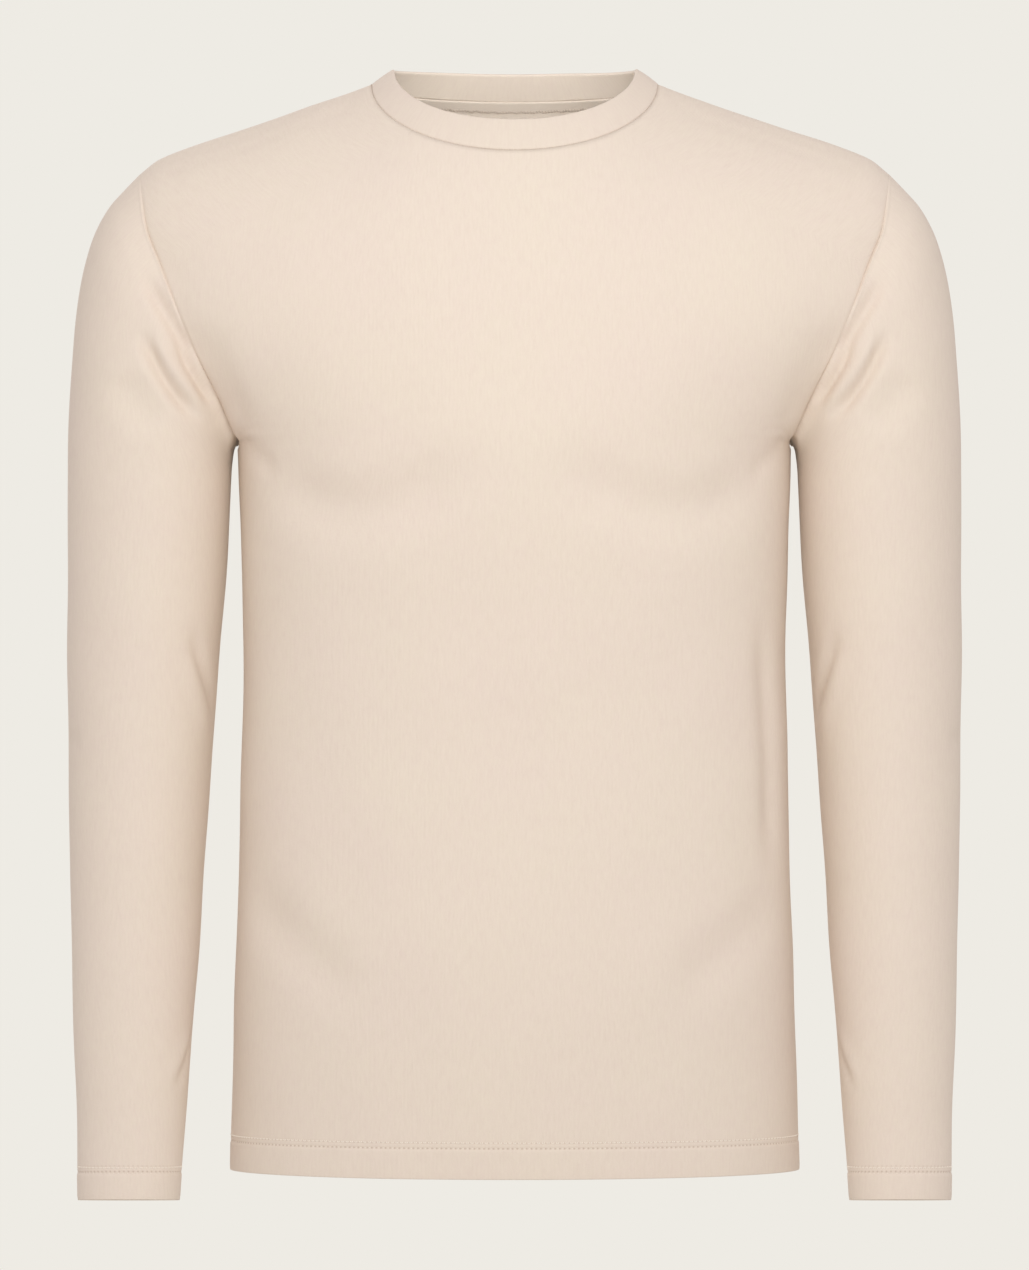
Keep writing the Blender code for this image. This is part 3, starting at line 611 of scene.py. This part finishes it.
def oval(reach, turn):
    """Points of the sleeve's plain oval sections."""
    row = {name: read_table(SLEEVE, name, reach) for name in SleeveRow._fields[1:]}
    swing = np.cos(turn)
    x = (row["outer_x"] + row["inner_x"]) / 2 + (row["outer_x"] - row["inner_x"]) / 2 * swing
    drop = (row["outer_drop"] + row["inner_drop"]) / 2
    drop = drop + (row["outer_drop"] - row["inner_drop"]) / 2 * swing
    return np.stack((x, row["centre_y"] - row["half_depth"] * np.sin(turn), -drop), axis=-1)


def armhole_seam(turn):
    """The armhole seam where the sleeve's columns meet it, and the way the body faces there."""
    turn = turn % (2 * math.pi)
    in_front = (turn <= math.pi)[..., None]
    step = 1 - np.where(turn <= math.pi, turn, 2 * math.pi - turn) / math.pi
    x, drop = np.moveaxis(armhole_line(step), -1, 0)
    points = np.where(in_front, body_point(x, drop, FRONT), body_point(x, drop, BACK))
    points[..., 1] = np.where((step > 0) & (step < 1), points[..., 1], 0.0)
    return points, np.where(in_front, body_normal(x, drop, FRONT), body_normal(x, drop, BACK))


def sleeve_point(reach, turn):
    own_shape = armhole_seam(turn)[0] - oval(np.zeros_like(reach), turn)
    fade = np.clip(1 - reach / ARMHOLE_FADE, 0, 1) ** 2
    points = oval(reach, turn) + own_shape * fade[..., None]
    near_cuff = np.clip(1 - (SLEEVE_LENGTH - reach) / CUFF_TILT_REACH, 0, 1) ** 2
    points[..., 2] -= CUFF_TILT * near_cuff * (points[..., 1] - SLEEVE[-1].centre_y)
    return points


def tube_normals(points):
    """The way a tube of points faces, outwards."""
    ring = np.concatenate((points[:, -2:-1], points, points[:, 1:2]), axis=1)
    normal = np.cross(np.gradient(ring, axis=1)[:, 1:-1], np.gradient(points, axis=0))
    return normal / np.maximum(np.linalg.norm(normal, axis=-1, keepdims=True), 1e-12)


def sleeve_cloth():
    """The sleeve on the wearer's left, +X."""
    reach, turn = np.meshgrid(reaches, turns, indexing="ij")
    points = sleeve_point(reach, turn)
    normals = tube_normals(points)
    seam, body_faces = armhole_seam(turns)
    down = run_along(points)
    uv = np.stack((run_along(points, 1), down[-1:] - down), axis=-1)
    from_armhole = distance_to(points, seam)[0]
    inner_edge = points[:, len(half_turns) - 1]
    depth = INNER_SEAM_DIP * seam_dip(distance_to(points, inner_edge)[0])
    depth += pressed(points, SLEEVE_CREASES,
                     lambda places: sleeve_point(places[:, 0], np.radians(places[:, 1])))
    depth += turned_edge(SLEEVE_LENGTH - reach, CUFF_STITCHES)
    depth += unevenness(points)
    seam_drop = -seam[:, 2]
    ridge = SEAM_RIDGE * np.interp(seam_drop, RIDGE_DROPS, RIDGE_SHARES)
    depth -= ridge * np.exp(-((from_armhole - SEAM_RIDGE_AT) / SEAM_RIDGE_WIDTH) ** 2)
    depth *= np.clip(from_armhole / SEAM_RIDGE_AT, 0, 1)
    dipped = points - body_faces[None] * pulled_in(from_armhole, seam_drop)[..., None]
    return Cloth(dipped - normals * depth[..., None], normals, uv)


sleeve = sleeve_cloth()
print("sleeve points:", sleeve.points.shape[:2])

# %% [markdown]
# The neckband is a strip folded double lengthwise, so its upper edge is a round fold and its
# section is a narrow loop. It leans in towards the neck. The section is carried round the neck
# seam, and its lower edge is tucked behind the panels, as the seam allowance is.

# %% Make the points of the neckband
BAND_TOP_HALF_WIDTH = 0.0778
BAND_SIDE_RISE = 0.0096
BAND_BACK_RISE = 0.0105
BAND_FRONT_DROP = 0.0265
BAND_FRONT_LEAN = 0.875
BAND_BACK_LEAN = 0.86
BAND_WALL = 0.0024
BAND_COLUMNS = 110
FOLD_START = 0.94
FOLD_STEPS = 9
BAND_BULGE = 0.0004
BAND_TUCK = ((-0.07, BAND_WALL), (-0.07, 0.0016), (-0.07 / 3, 0.0011),   # each up and inward
             (0.002, 0.0007), (0.008, 0.0003), (0.02, 0.0001))


def band_section():
    """Rows of (up, inward): up the outer face, over the fold, down the inner face."""
    up = np.linspace(0.0, FOLD_START, 14)
    outer = np.stack((up, -BAND_BULGE * np.sin(math.pi * up)), axis=-1)
    angle = np.linspace(0, math.pi, FOLD_STEPS + 2)[1:-1]
    fold = np.stack((FOLD_START + (1 - FOLD_START) * np.sin(angle),
                     BAND_WALL / 2 * (1 - np.cos(angle))), axis=-1)
    inner = np.stack((up[::-1], np.full(len(up), BAND_WALL)), axis=-1)
    return np.concatenate((BAND_TUCK, outer[1:], fold, inner))


def band_edges(face):
    """The neck seam and the band's upper edge along one panel, from -X to +X."""
    place = np.linspace(-1, 1, 2 * BAND_COLUMNS + 1)
    x, drop = neckline(np.abs(place), face).T
    seam = body_point(x * np.sign(place), drop, face)
    seam[[0, -1], 1] = 0.0
    share = seam[:, 0] / NECK_HALF_WIDTH
    rise = -BAND_FRONT_DROP if face == FRONT else BAND_BACK_RISE
    lean = BAND_FRONT_LEAN if face == FRONT else BAND_BACK_LEAN
    z = BAND_SIDE_RISE + (rise - BAND_SIDE_RISE) * np.sqrt(np.clip(1 - share ** 2, 0, 1))
    return seam, np.stack((share * BAND_TOP_HALF_WIDTH, seam[:, 1] * lean, z), axis=-1)


def band_cloth():
    front_seam, front_top = band_edges(FRONT)
    back_seam, back_top = band_edges(BACK)
    seam = np.concatenate((front_seam, back_seam[::-1][1:]))
    top = np.concatenate((front_top, back_top[::-1][1:]))
    up = top - seam
    ring = np.concatenate((seam[-2:-1], seam, seam[1:2]))
    outward = np.cross(np.gradient(ring, axis=0)[1:-1], up)
    outward /= np.linalg.norm(outward, axis=-1, keepdims=True)
    section = band_section()
    rows = seam + section[:, 0, None, None] * up - section[:, 1, None, None] * outward
    rows = rows - outward * unevenness(rows)[..., None]
    rows = np.concatenate((rows, rows[:1]))
    uv = np.stack(np.meshgrid(run_along(seam), run_along(rows[:, 0])), axis=-1)
    return Cloth(rows, np.broadcast_to(outward, rows.shape), uv), seam


neckband, neck_seam = band_cloth()
print("neck seam in mm:", round(1000 * float(run_along(neck_seam)[-1])))

# %% [markdown]
# The tape covers the back neck seam inside and stops it stretching. It follows the neckline at a
# small distance and lies on the inside of the back. Its upper edge is folded over the seam's ridge,
# so it stands proud and catches the light, and its lower edge is pulled uneven by its stitches.

# %% Make the points of the neck tape
TAPE_END = 0.985             # its ends' place on the neckline
TAPE_COLUMNS = 180
TAPE_CLEARANCE = 0.0008
TAPE_WIDTH = 0.0085
TAPE_WALL = 0.0006
TAPE_ROWS = (0.0, 0.05, 0.12, 0.22, 0.35, 0.50, 0.70, 0.86, 0.94, 1.0)
TAPE_FACES = (0.0026, 0.0031, 0.0032, 0.0031, 0.0029, 0.0027, 0.0025, 0.0022, 0.0022, 0.0020)
TAPE_RAGGED = 0.0003
DOWN_STEP = 0.006


def tape_cloth():
    place = np.linspace(-TAPE_END, TAPE_END, TAPE_COLUMNS + 1)
    angle = place * math.pi / 2
    x = NECK_HALF_WIDTH * np.sin(angle)
    drop = BACK_NECK_DROP * np.cos(angle)
    away = np.stack((BACK_NECK_DROP * np.sin(angle), NECK_HALF_WIDTH * np.cos(angle)), axis=-1)
    away *= DOWN_STEP / np.linalg.norm(away, axis=-1, keepdims=True)
    edge = body_point(x, drop, BACK)
    down = body_point(x + away[:, 0], drop + away[:, 1], BACK) - edge
    down /= np.linalg.norm(down, axis=-1, keepdims=True)
    inward = -body_normal(x + away[:, 0], drop + away[:, 1], BACK)
    rows = []
    for share, offset in zip(TAPE_ROWS, TAPE_FACES):
        ragged = TAPE_RAGGED * share * (np.sin(place * 151) + np.sin(place * 89 + 1))
        reach = TAPE_CLEARANCE + TAPE_WIDTH * share + ragged
        rows.append(edge + down * reach[:, None] + inward * offset)
    rows = np.array(rows)
    uv = np.stack(np.meshgrid(run_along(edge), np.array(TAPE_ROWS) * TAPE_WIDTH), axis=-1)
    return Cloth(rows, np.broadcast_to(-inward, rows.shape), uv)


tape = tape_cloth()
print("tape points:", tape.points.shape[:2])

# %% [markdown]
# Every finish is built from numbers that vary over the cloth. Wiring Math nodes by hand hides
# the sum that they work out, so this small class lets the sum be written as one: each operator
# adds the Math node that does it, also when the plain number stands first, as in 1 - mask.

# %% Write shader maths as expressions
class Value:
    """A socket that varies over a surface, with the operators that add Math nodes to it."""

    def __init__(self, recipe, socket):
        self.recipe = recipe
        self.socket = socket

    def maths(self, operation, *values):
        return self.recipe.node("ShaderNodeMath", dict(enumerate(values)), operation=operation)

    def __add__(self, other):
        return self.maths("ADD", self, other)

    def __sub__(self, other):
        return self.maths("SUBTRACT", self, other)

    def __rsub__(self, other):
        return self.maths("SUBTRACT", other, self)

    def __mul__(self, other):
        return self.maths("MULTIPLY", self, other)

    def __truediv__(self, other):
        return self.maths("DIVIDE", self, other)

    def __pow__(self, other):
        return self.maths("POWER", self, other)

    __radd__ = __add__
    __rmul__ = __mul__

    def sine(self):
        return self.maths("SINE", self)

    def size(self):
        return self.maths("ABSOLUTE", self)

    def at_least(self, low):
        return self.maths("MAXIMUM", self, low)


class Recipe:
    """A material under construction: one method adds any node."""

    def __init__(self, name):
        self.material = bpy.data.materials.new(name)
        self.material.use_nodes = True
        self.tree = self.material.node_tree
        self.shader = self.tree.nodes["Principled BSDF"]

    def connect(self, value, socket):
        if isinstance(value, Value):
            self.tree.links.new(value.socket, socket)
        else:
            socket.default_value = value

    def node(self, kind, sockets=None, output=0, **settings):
        made = self.tree.nodes.new(kind)
        for name, setting in settings.items():
            setattr(made, name, setting)
        for name, value in (sockets or {}).items():
            self.connect(value, made.inputs[name])
        return Value(self, made.outputs[output])

    def blend(self, share, first, second):
        """A colour between two others."""
        return self.node("ShaderNodeMix", {0: share, 6: first, 7: second}, output=2,
                         data_type="RGBA")

    def finish(self, colour, roughness, relief, strength, distance):
        """Give the surface its varying colour, roughness and relief."""
        self.connect(colour, self.shader.inputs["Base Color"])
        self.connect(roughness, self.shader.inputs["Roughness"])
        self.connect(self.node("ShaderNodeBump", {"Strength": strength, "Distance": distance,
                                                  "Height": relief}), self.shader.inputs["Normal"])
        return self.material


print("shader operators ready")

# %% [markdown]
# Fine jersey is a knit: upright ribs called wales, less than a millimetre apart, and finer rows
# across them. From a step away they blur into faint upright streaks, so the finish mixes both:
# a true knit in relief for a close look, and streaks and cloudy patches in its colour, one tone
# warm and one rosy, as undyed-looking cotton has. The pattern reads the cloth's own UV map in
# metres, so it follows every panel round the body. Its needle holes get dots of painted shade.

# %% Make the jersey finish
WARM = (0.812, 0.716, 0.600, 1.0)
ROSY = (0.804, 0.684, 0.600, 1.0)
SHADE = (0.560, 0.440, 0.350, 1.0)
WALE = 0.00085
COURSE = 0.00065
NEEDLE_STEP = 0.0030
NEEDLE_ROW = 0.0009
STREAKS = (620.0, 95.0, 1.0)       # how many to a metre, across and up
STREAK_SHADE, FLUFF_SHADE, SPECKLE_SHADE = 0.26, 0.16, 0.10
SOFT_SHEEN = (("Metallic", 0.0), ("Specular IOR Level", 0.25), ("Sheen Weight", 0.06),
              ("Sheen Roughness", 0.45), ("Sheen Tint", (1.0, 0.95, 0.90, 1.0)))


def cloth_place(recipe):
    """The two numbers of the cloth's UV map, in metres, and the map itself."""
    uv = recipe.node("ShaderNodeUVMap", uv_map="cloth")
    split = recipe.node("ShaderNodeSeparateXYZ", {0: uv})
    return split, Value(recipe, split.socket.node.outputs[1]), uv


def clouds(recipe, uv, scale, detail=2.0, stretch_by=(1.0, 1.0, 1.0)):
    stretched = recipe.node("ShaderNodeMapping", {"Vector": uv, "Scale": stretch_by})
    return recipe.node("ShaderNodeTexNoise",
                       {"Vector": stretched, "Scale": scale, "Detail": detail, "Roughness": 0.55})


def jersey(name, hole_shade_rows=(), tint=1.0):
    """A knit finish; each row of needle holes is given by its height and by its painted shade."""
    recipe = Recipe(name)
    u, v, uv = cloth_place(recipe)
    wales = (u * (2 * math.pi / WALE)).sine()
    courses = (v * (2 * math.pi / COURSE)).sine()
    streaks = clouds(recipe, uv, 1.0, 2.0, STREAKS)
    patches = clouds(recipe, uv, 11.0, 5.0)
    speckle = clouds(recipe, uv, 130.0, 3.0, (1.6, 1.0, 1.0))
    fluff = clouds(recipe, uv, 700.0, 2.0)

    warmth = (patches - 0.5) * 1.3 + (speckle - 0.5) * 0.9 + 0.5
    rosy, warm = ((*(tint * part for part in tone[:3]), 1.0) for tone in (ROSY, WARM))
    colour = recipe.blend(warmth, rosy, warm)
    shading = (0.62 - streaks).at_least(0.0) * STREAK_SHADE
    shading = shading + (0.5 - fluff).at_least(0.0) * FLUFF_SHADE
    shading = shading + (0.5 - speckle).at_least(0.0) * SPECKLE_SHADE
    # Painted shade: along each row of needle holes the colour is darkened in dots, for the shadow in
    # the holes.
    for row, shade_strength in hole_shade_rows:
        hole_shade_band = (1 - (v - row).size() / NEEDLE_ROW).at_least(0.0)
        hole_shade_dots = ((u * (2 * math.pi / NEEDLE_STEP)).sine() * 0.5 + 0.5) ** 3
        shading = shading + hole_shade_band * (hole_shade_dots * 0.9 + 0.1) * shade_strength
    for socket, value in SOFT_SHEEN:
        recipe.shader.inputs[socket].default_value = value
    relief = wales * 0.35 + courses * 0.15 + streaks * 1.2 + fluff * 0.8
    return recipe.finish(recipe.blend(shading, colour, SHADE), 0.82 + (streaks - 0.5) * 0.12,
                         relief, strength=0.35, distance=0.0003)


# Painted shade in the needle holes, for the lower row and for the upper row.
HOLE_SHADES = (0.90, 0.40)      # the lower row and the upper row
body_jersey = jersey("stone_jersey_body", tuple(zip(HEM_STITCHES, HOLE_SHADES)))
sleeve_jersey = jersey("stone_jersey_sleeve", tuple(zip(CUFF_STITCHES, HOLE_SHADES)))
band_jersey = jersey("stone_jersey_band", tint=0.985)
print("jersey nodes:", len(body_jersey.node_tree.nodes))

# %% [markdown]
# The tape is a narrow twill, denser than the jersey and of the same shade, with slanting ribs whose
# grooves are darkened with painted shade. The thread is spun polyester: smoother, a little glossy
# and twisted, paler than the cloth on the outside rows. In the neck seam it is near the cloth's own
# shade, and under the tape it lies deep between two layers, so it is painted a shaded tone.

# %% Make the tape and thread finishes
TWILL_RIB = 0.0009


def twill(name):
    recipe = Recipe(name)
    u, v, uv = cloth_place(recipe)
    ribs_and_groove_shade = ((u + v) * (2 * math.pi / TWILL_RIB)).sine() * 0.5 + 0.5
    patches = clouds(recipe, uv, 60.0, 3.0)
    colour = recipe.blend(patches, (0.80, 0.69, 0.59, 1.0), (0.88, 0.78, 0.68, 1.0))
    # Painted shade: the colour is darkened towards SHADE in the grooves between the ribs.
    return recipe.finish(recipe.blend(ribs_and_groove_shade * 0.25, colour, SHADE), 0.8 + patches * 0.1, ribs_and_groove_shade,
                         strength=0.5, distance=0.0002)


def thread(name, pale, shaded):
    recipe = Recipe(name)
    place = recipe.node("ShaderNodeTexCoord", output="Object")
    twist = recipe.node("ShaderNodeTexNoise", {"Vector": place, "Scale": 900.0, "Detail": 1.0})
    return recipe.finish(recipe.blend(twist, shaded, pale), 0.55 + twist * 0.15, twist,
                         strength=0.3, distance=0.0002)


tape_twill = twill("stone_twill_tape")
pale_thread = thread("pale_thread", (0.96, 0.89, 0.80, 1.0), (0.88, 0.80, 0.70, 1.0))
# Painted shade: this thread is darkened for the shadow it lies in, deep under the tape.
shaded_ditch_thread = thread("shaded_ditch_thread", (0.62, 0.51, 0.42, 1.0), (0.50, 0.40, 0.33, 1.0))
seam_thread = thread("seam_thread", (0.79, 0.68, 0.58, 1.0), (0.70, 0.59, 0.50, 1.0))
print("finishes:", len(bpy.data.materials))

# %% [markdown]
# One function turns any table of points into cloth. It starts from Blender's grid operator and
# moves each vertex of that grid to its point, so no list of faces is needed. Missing points make
# the neck hole, meeting edges are merged, and Solidify gives the wall, thicker where the edge is
# turned up inside.

# %% Turn points into a piece of cloth
MERGE_DISTANCE = 0.000002
WALL = 0.0010
TURNED_WALL = 0.0020
TURN_TOP = 0.0003            # the turned-up layer ends just above the lower row of stitches


def make_piece(name, bm, material):
    """A smooth object of one finish from a finished bmesh."""
    mesh = bpy.data.meshes.new(name)
    bm.to_mesh(mesh)
    bm.free()
    mesh.shade_smooth()
    mesh.materials.append(material)
    piece = bpy.data.objects.new(name, mesh)
    bpy.context.scene.collection.objects.link(piece)
    print(name, "faces:", len(mesh.polygons))
    return piece


def lay_cloth(name, cloth, material, outward, wall=None, turned=None):
    rows, columns = cloth.points.shape[:2]
    bm = bmesh.new()
    bmesh.ops.create_grid(bm, x_segments=columns - 1, y_segments=rows - 1, size=1.0)
    uv_layer = bm.loops.layers.uv.new("cloth")
    grid_places = {}
    for vertex in bm.verts:
        column = round((vertex.co.x + 1) / 2 * (columns - 1))
        row = round((vertex.co.y + 1) / 2 * (rows - 1))
        grid_places[vertex] = row, column
        vertex.co = cloth.points[row, column]
    for face in bm.faces:
        for loop in face.loops:
            loop[uv_layer].uv = cloth.uv[grid_places[loop.vert]]
    missing = [vertex for vertex in bm.verts if math.isnan(vertex.co.x)]
    bmesh.ops.delete(bm, geom=missing, context="VERTS")
    bmesh.ops.remove_doubles(bm, verts=bm.verts, dist=MERGE_DISTANCE)
    if not outward:
        bmesh.ops.reverse_faces(bm, faces=bm.faces)
    piece = make_piece(name, bm, material)
    if wall is not None:
        give_wall(piece, wall, turned)
    return piece


def give_wall(piece, wall, turned):
    solidify = piece.modifiers.new("wall", "SOLIDIFY")
    solidify.offset = -1
    solidify.thickness = wall
    if turned is None:
        return
    group = piece.vertex_groups.new(name="turned_up")
    heights = zip(piece.data.loops, piece.data.uv_layers["cloth"].uv)
    low = {loop.vertex_index for loop, spot in heights if spot.vector.y < turned}
    group.add(sorted(low), 1.0, "REPLACE")
    solidify.thickness = TURNED_WALL
    solidify.vertex_group = group.name
    solidify.thickness_vertex_group = wall / TURNED_WALL


hem_top, cuff_top = HEM_STITCHES[0] + TURN_TOP, CUFF_STITCHES[0] + TURN_TOP
front_piece = lay_cloth("front_jersey", front_cloth, body_jersey, True, WALL, hem_top)
back_piece = lay_cloth("back_jersey", back_cloth, body_jersey, False, WALL, hem_top)

# %% [markdown]
# The two sleeves are cut alike, so the right one is the left one mirrored. Mirroring turns the
# faces inside out, and they are turned back. The band's section closes on itself, so it needs no
# wall of its own; the tape is a thin strip.

# %% Lay the sleeves, the band and the tape
flip = np.array((-1.0, 1.0, 1.0))
right_sleeve = Cloth(sleeve.points * flip, sleeve.normals * flip, sleeve.uv)
left_piece = lay_cloth("sleeve_left_jersey", sleeve, sleeve_jersey, True, WALL, cuff_top)
right_piece = lay_cloth("sleeve_right_jersey", right_sleeve, sleeve_jersey, False, WALL, cuff_top)
band_piece = lay_cloth("neckband_jersey", neckband, band_jersey, True)
tape_piece = lay_cloth("neck_tape_twill", tape, tape_twill, False, TAPE_WALL)

# %% [markdown]
# A stitch is a short plump thread lying on the cloth between two needle holes. Each is a six-sided
# bead drawn out along its row, or two leaning beads where the machine lays its thread in small
# open V's. A row follows a line of the cloth, resampled at the stitch length, and each bead is
# turned to lie flat on the cloth there.

# %% Sew rows of stitches
STITCH_STEP = 0.0030
BEAD_SIDES, BEAD_RINGS = 6, 4
Row = namedtuple("Row", "line facing start fill radius lean")


def spaced(row, step):
    """Points every step along a row, a step's end beyond each, and the ways the cloth faces."""
    run = run_along(row.line)
    at = np.arange((0.75 * step - row.start) % step, run[-1], step)
    spots = [np.stack([np.interp(where, run, values[:, axis]) for axis in range(3)], axis=-1)
             for where, values in ((at, row.line), (at + step / 4, row.line), (at, row.facing))]
    return spots[0], spots[1] - spots[0], spots[2]


def sew(name, rows, material, step=STITCH_STEP, lift=0.0001):
    bm = bmesh.new()
    for row in rows:
        for point, ahead, faces in zip(*spaced(row, step)):
            along = Vector(ahead).normalized()
            side = Vector(faces).cross(along).normalized()
            up = along.cross(side)
            turn = Matrix((along, side, up)).transposed().to_4x4()
            arms = (-1, 1) if row.lean else (0,)
            half_length = step * row.fill / 2 / len(arms) / math.cos(row.lean)
            size = Matrix.Diagonal((half_length, row.radius, row.radius, 1.0))
            for arm in arms:
                middle = Vector(point) + up * lift + along * (arm * step * row.fill / 4)
                lean = Matrix.Rotation(arm * row.lean, 4, "Z")
                place = Matrix.Translation(middle) @ turn @ lean @ size
                bmesh.ops.create_uvsphere(bm, u_segments=BEAD_SIDES, v_segments=BEAD_RINGS,
                                          radius=1.0, matrix=place)
    return make_piece(name, bm, material)


EDGE_BEADS = ((0.45, 0.00020, 0.0), (0.72, 0.00034, math.radians(42)))    # fill, radius, lean


def sewn_edge(name, cloth, heights, rows, mirror=1.0):
    """Stitches along the two rows of a turned-up edge, found by their heights."""
    way = np.array((mirror, 1.0, 1.0))
    lines = []
    for height, beads in zip(rows, EDGE_BEADS):
        row = [abs(h - height) < 1e-6 for h in heights].index(True)
        if heights[0] > 0:
            row -= len(heights)
        lines.append(Row(cloth.points[row] * way, cloth.normals[row] * way, cloth.uv[row, 0, 0],
                         *beads))
    return sew(name, lines, pale_thread)


front_hem = sewn_edge("front_hem_stitches", front_cloth, HEM_HEIGHTS, HEM_STITCHES)
back_hem = sewn_edge("back_hem_stitches", back_cloth, HEM_HEIGHTS, HEM_STITCHES)
left_cuff = sewn_edge("cuff_left_stitches", sleeve, CUFF_HEIGHTS, CUFF_STITCHES)
right_cuff = sewn_edge("cuff_right_stitches", sleeve, CUFF_HEIGHTS, CUFF_STITCHES, mirror=-1.0)

# %% [markdown]
# The neck seam is sewn from inside, so only tiny pricks of thread, near the cloth's own shade, show
# in its fine groove. The tape is held by two close rows at its lower edge, which show as a dark,
# slightly rough line: their thread is painted a shaded tone, for the shadow between the layers.

# %% Sew the neck
NECK_STEP, TAPE_STEP = 0.0016, 0.0020
band_outward = neckband.normals[0]
neck_row = Row(neck_seam - band_outward * 0.0001, band_outward, 0.0, 0.5, 0.00022, 0.0)
neck_stitches = sew("neck_seam_stitches", [neck_row], seam_thread, step=NECK_STEP)
tape_rows = [Row(tape.points[row], -tape.normals[row], start, 0.6, 0.00025, 0.0)
             for row, start in ((-1, 0.0), (-3, 0.0010))]
# The tape's rows take the thread that is painted with shade.
tape_stitches = sew("neck_tape_stitches", tape_rows, shaded_ditch_thread, step=TAPE_STEP)

# %% [markdown]
# Now the pieces are tied to the imported model. Each cloth and its stitches ride on the part's one
# body, and the part's plain wall is hidden. The table also lists the size each piece was cut to;
# the areas are those of the cut's shape, which no rectangle gives.

# %% Tie the pieces to the imported model
Cut = namedtuple("Cut", "piece node slot width length area held stitches")
CUTS = table(
    Cut,
    (front_piece, "front", "jersey", 0.52, 0.72, 0.323, "hung", [front_hem]),
    (back_piece, "back", "jersey", 0.52, 0.74, 0.321, "hung", [back_hem]),
    (left_piece, "sleeve_left", "jersey", 0.42, 0.67, 0.173, "hung", [left_cuff]),
    (right_piece, "sleeve_right", "jersey", 0.42, 0.67, 0.173, "hung", [right_cuff]),
    (band_piece, "neckband", "neckband_jersey", 0.50, 0.021, 0.0102, "stretched", [neck_stitches]),
    (tape_piece, "neck_tape", "tape", 0.28, 0.010, 0.0024, "stretched", [tape_stitches]),
)
for cut in CUTS:
    for piece in (cut.piece, *cut.stitches):
        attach(piece, "root")
    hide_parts(cut.node)
print("pieces tied:", sum(1 + len(cut.stitches) for cut in CUTS))

# %% [markdown]
# The studio is plain: a pale surround that lights the cloth from all round, a high soft lamp and
# a nearer one in front, a low one, a large one behind for the back, and a pale floor where a wearer
# would stand. The near lamp is close enough to light the chest more than the hem and the sleeves,
# which shows the roundness. The back of the neck is framed by its own band and would be the darkest
# place, so a small lamp lies hidden inside the front of the neck and lights it softly.

# %% Light the studio
SURROUND = (0.855, 0.831, 0.776, 1.0)
AMBIENT = (0.725, 0.697, 0.698, 1.0)
LAMP_COLOUR = (0.973, 1.0, 0.985)
FLOOR_DROP = 1.45
FLOOR_RADIUS = 3.5
Lamp = namedtuple("Lamp", "name place aim width height power")
LAMPS = table(
    Lamp,
    ("high_lamp", (0.12, -2.00, 0.75), (0.0, 0.0, -0.30), 1.2, 1.2, 8.0),
    ("near_lamp", (0.08, -1.30, 0.15), (0.0, 0.0, -0.12), 0.6, 0.6, 4.1),
    ("low_lamp", (0.00, -2.20, -1.20), (0.0, 0.0, -0.45), 1.0, 1.0, 1.3),
    ("rear_lamp", (-0.60, 3.00, 0.90), (0.0, 0.0, -0.30), 1.6, 1.6, 20.0),
    ("neck_lamp", (0.0, -0.048, -0.042), (0.0, 0.04, 0.0), 0.11, 0.02, 0.055),
)

scene = bpy.context.scene
scene.view_settings.view_transform = "Standard"
world = bpy.data.worlds.new("pale_surround")
scene.world = world
world.use_nodes = True
world_tree = world.node_tree
seen = world_tree.nodes.new("ShaderNodeLightPath")
surround = world_tree.nodes.new("ShaderNodeMix")
surround.data_type = "RGBA"
surround.inputs[6].default_value = AMBIENT
surround.inputs[7].default_value = SURROUND
world_tree.links.new(seen.outputs["Is Camera Ray"], surround.inputs[0])
world_tree.links.new(surround.outputs[2], world_tree.nodes["Background"].inputs["Color"])

for lamp in LAMPS:
    lamp_data = bpy.data.lights.new(lamp.name, "AREA")
    lamp_data.shape = "ELLIPSE"
    lamp_data.size = lamp.width
    lamp_data.size_y = lamp.height
    lamp_data.energy = lamp.power
    lamp_data.color = LAMP_COLOUR
    lamp_object = bpy.data.objects.new(lamp.name, lamp_data)
    lamp_object.location = lamp.place
    beam = Vector(lamp.aim) - Vector(lamp.place)
    lamp_object.rotation_euler = beam.to_track_quat("-Z", "Y").to_euler()
    lamp_object.visible_camera = False
    scene.collection.objects.link(lamp_object)

floor_recipe = Recipe("pale_floor")
floor_place = floor_recipe.node("ShaderNodeTexCoord", output="Object")
floor_clouds = floor_recipe.node("ShaderNodeTexNoise", {"Vector": floor_place, "Scale": 2.0})
floor_tone = floor_recipe.blend(floor_clouds, (0.80, 0.78, 0.73, 1.0), (0.84, 0.82, 0.77, 1.0))
floor_recipe.connect(floor_tone, floor_recipe.shader.inputs["Base Color"])
floor_recipe.shader.inputs["Roughness"].default_value = 0.9
floor_bm = bmesh.new()
bmesh.ops.create_circle(floor_bm, cap_ends=True, segments=96, radius=FLOOR_RADIUS,
                        matrix=Matrix.Translation((0, 0, -FLOOR_DROP)))
make_piece("floor", floor_bm, floor_recipe.material)
print("lamps:", len(LAMPS), "floor drop:", FLOOR_DROP)
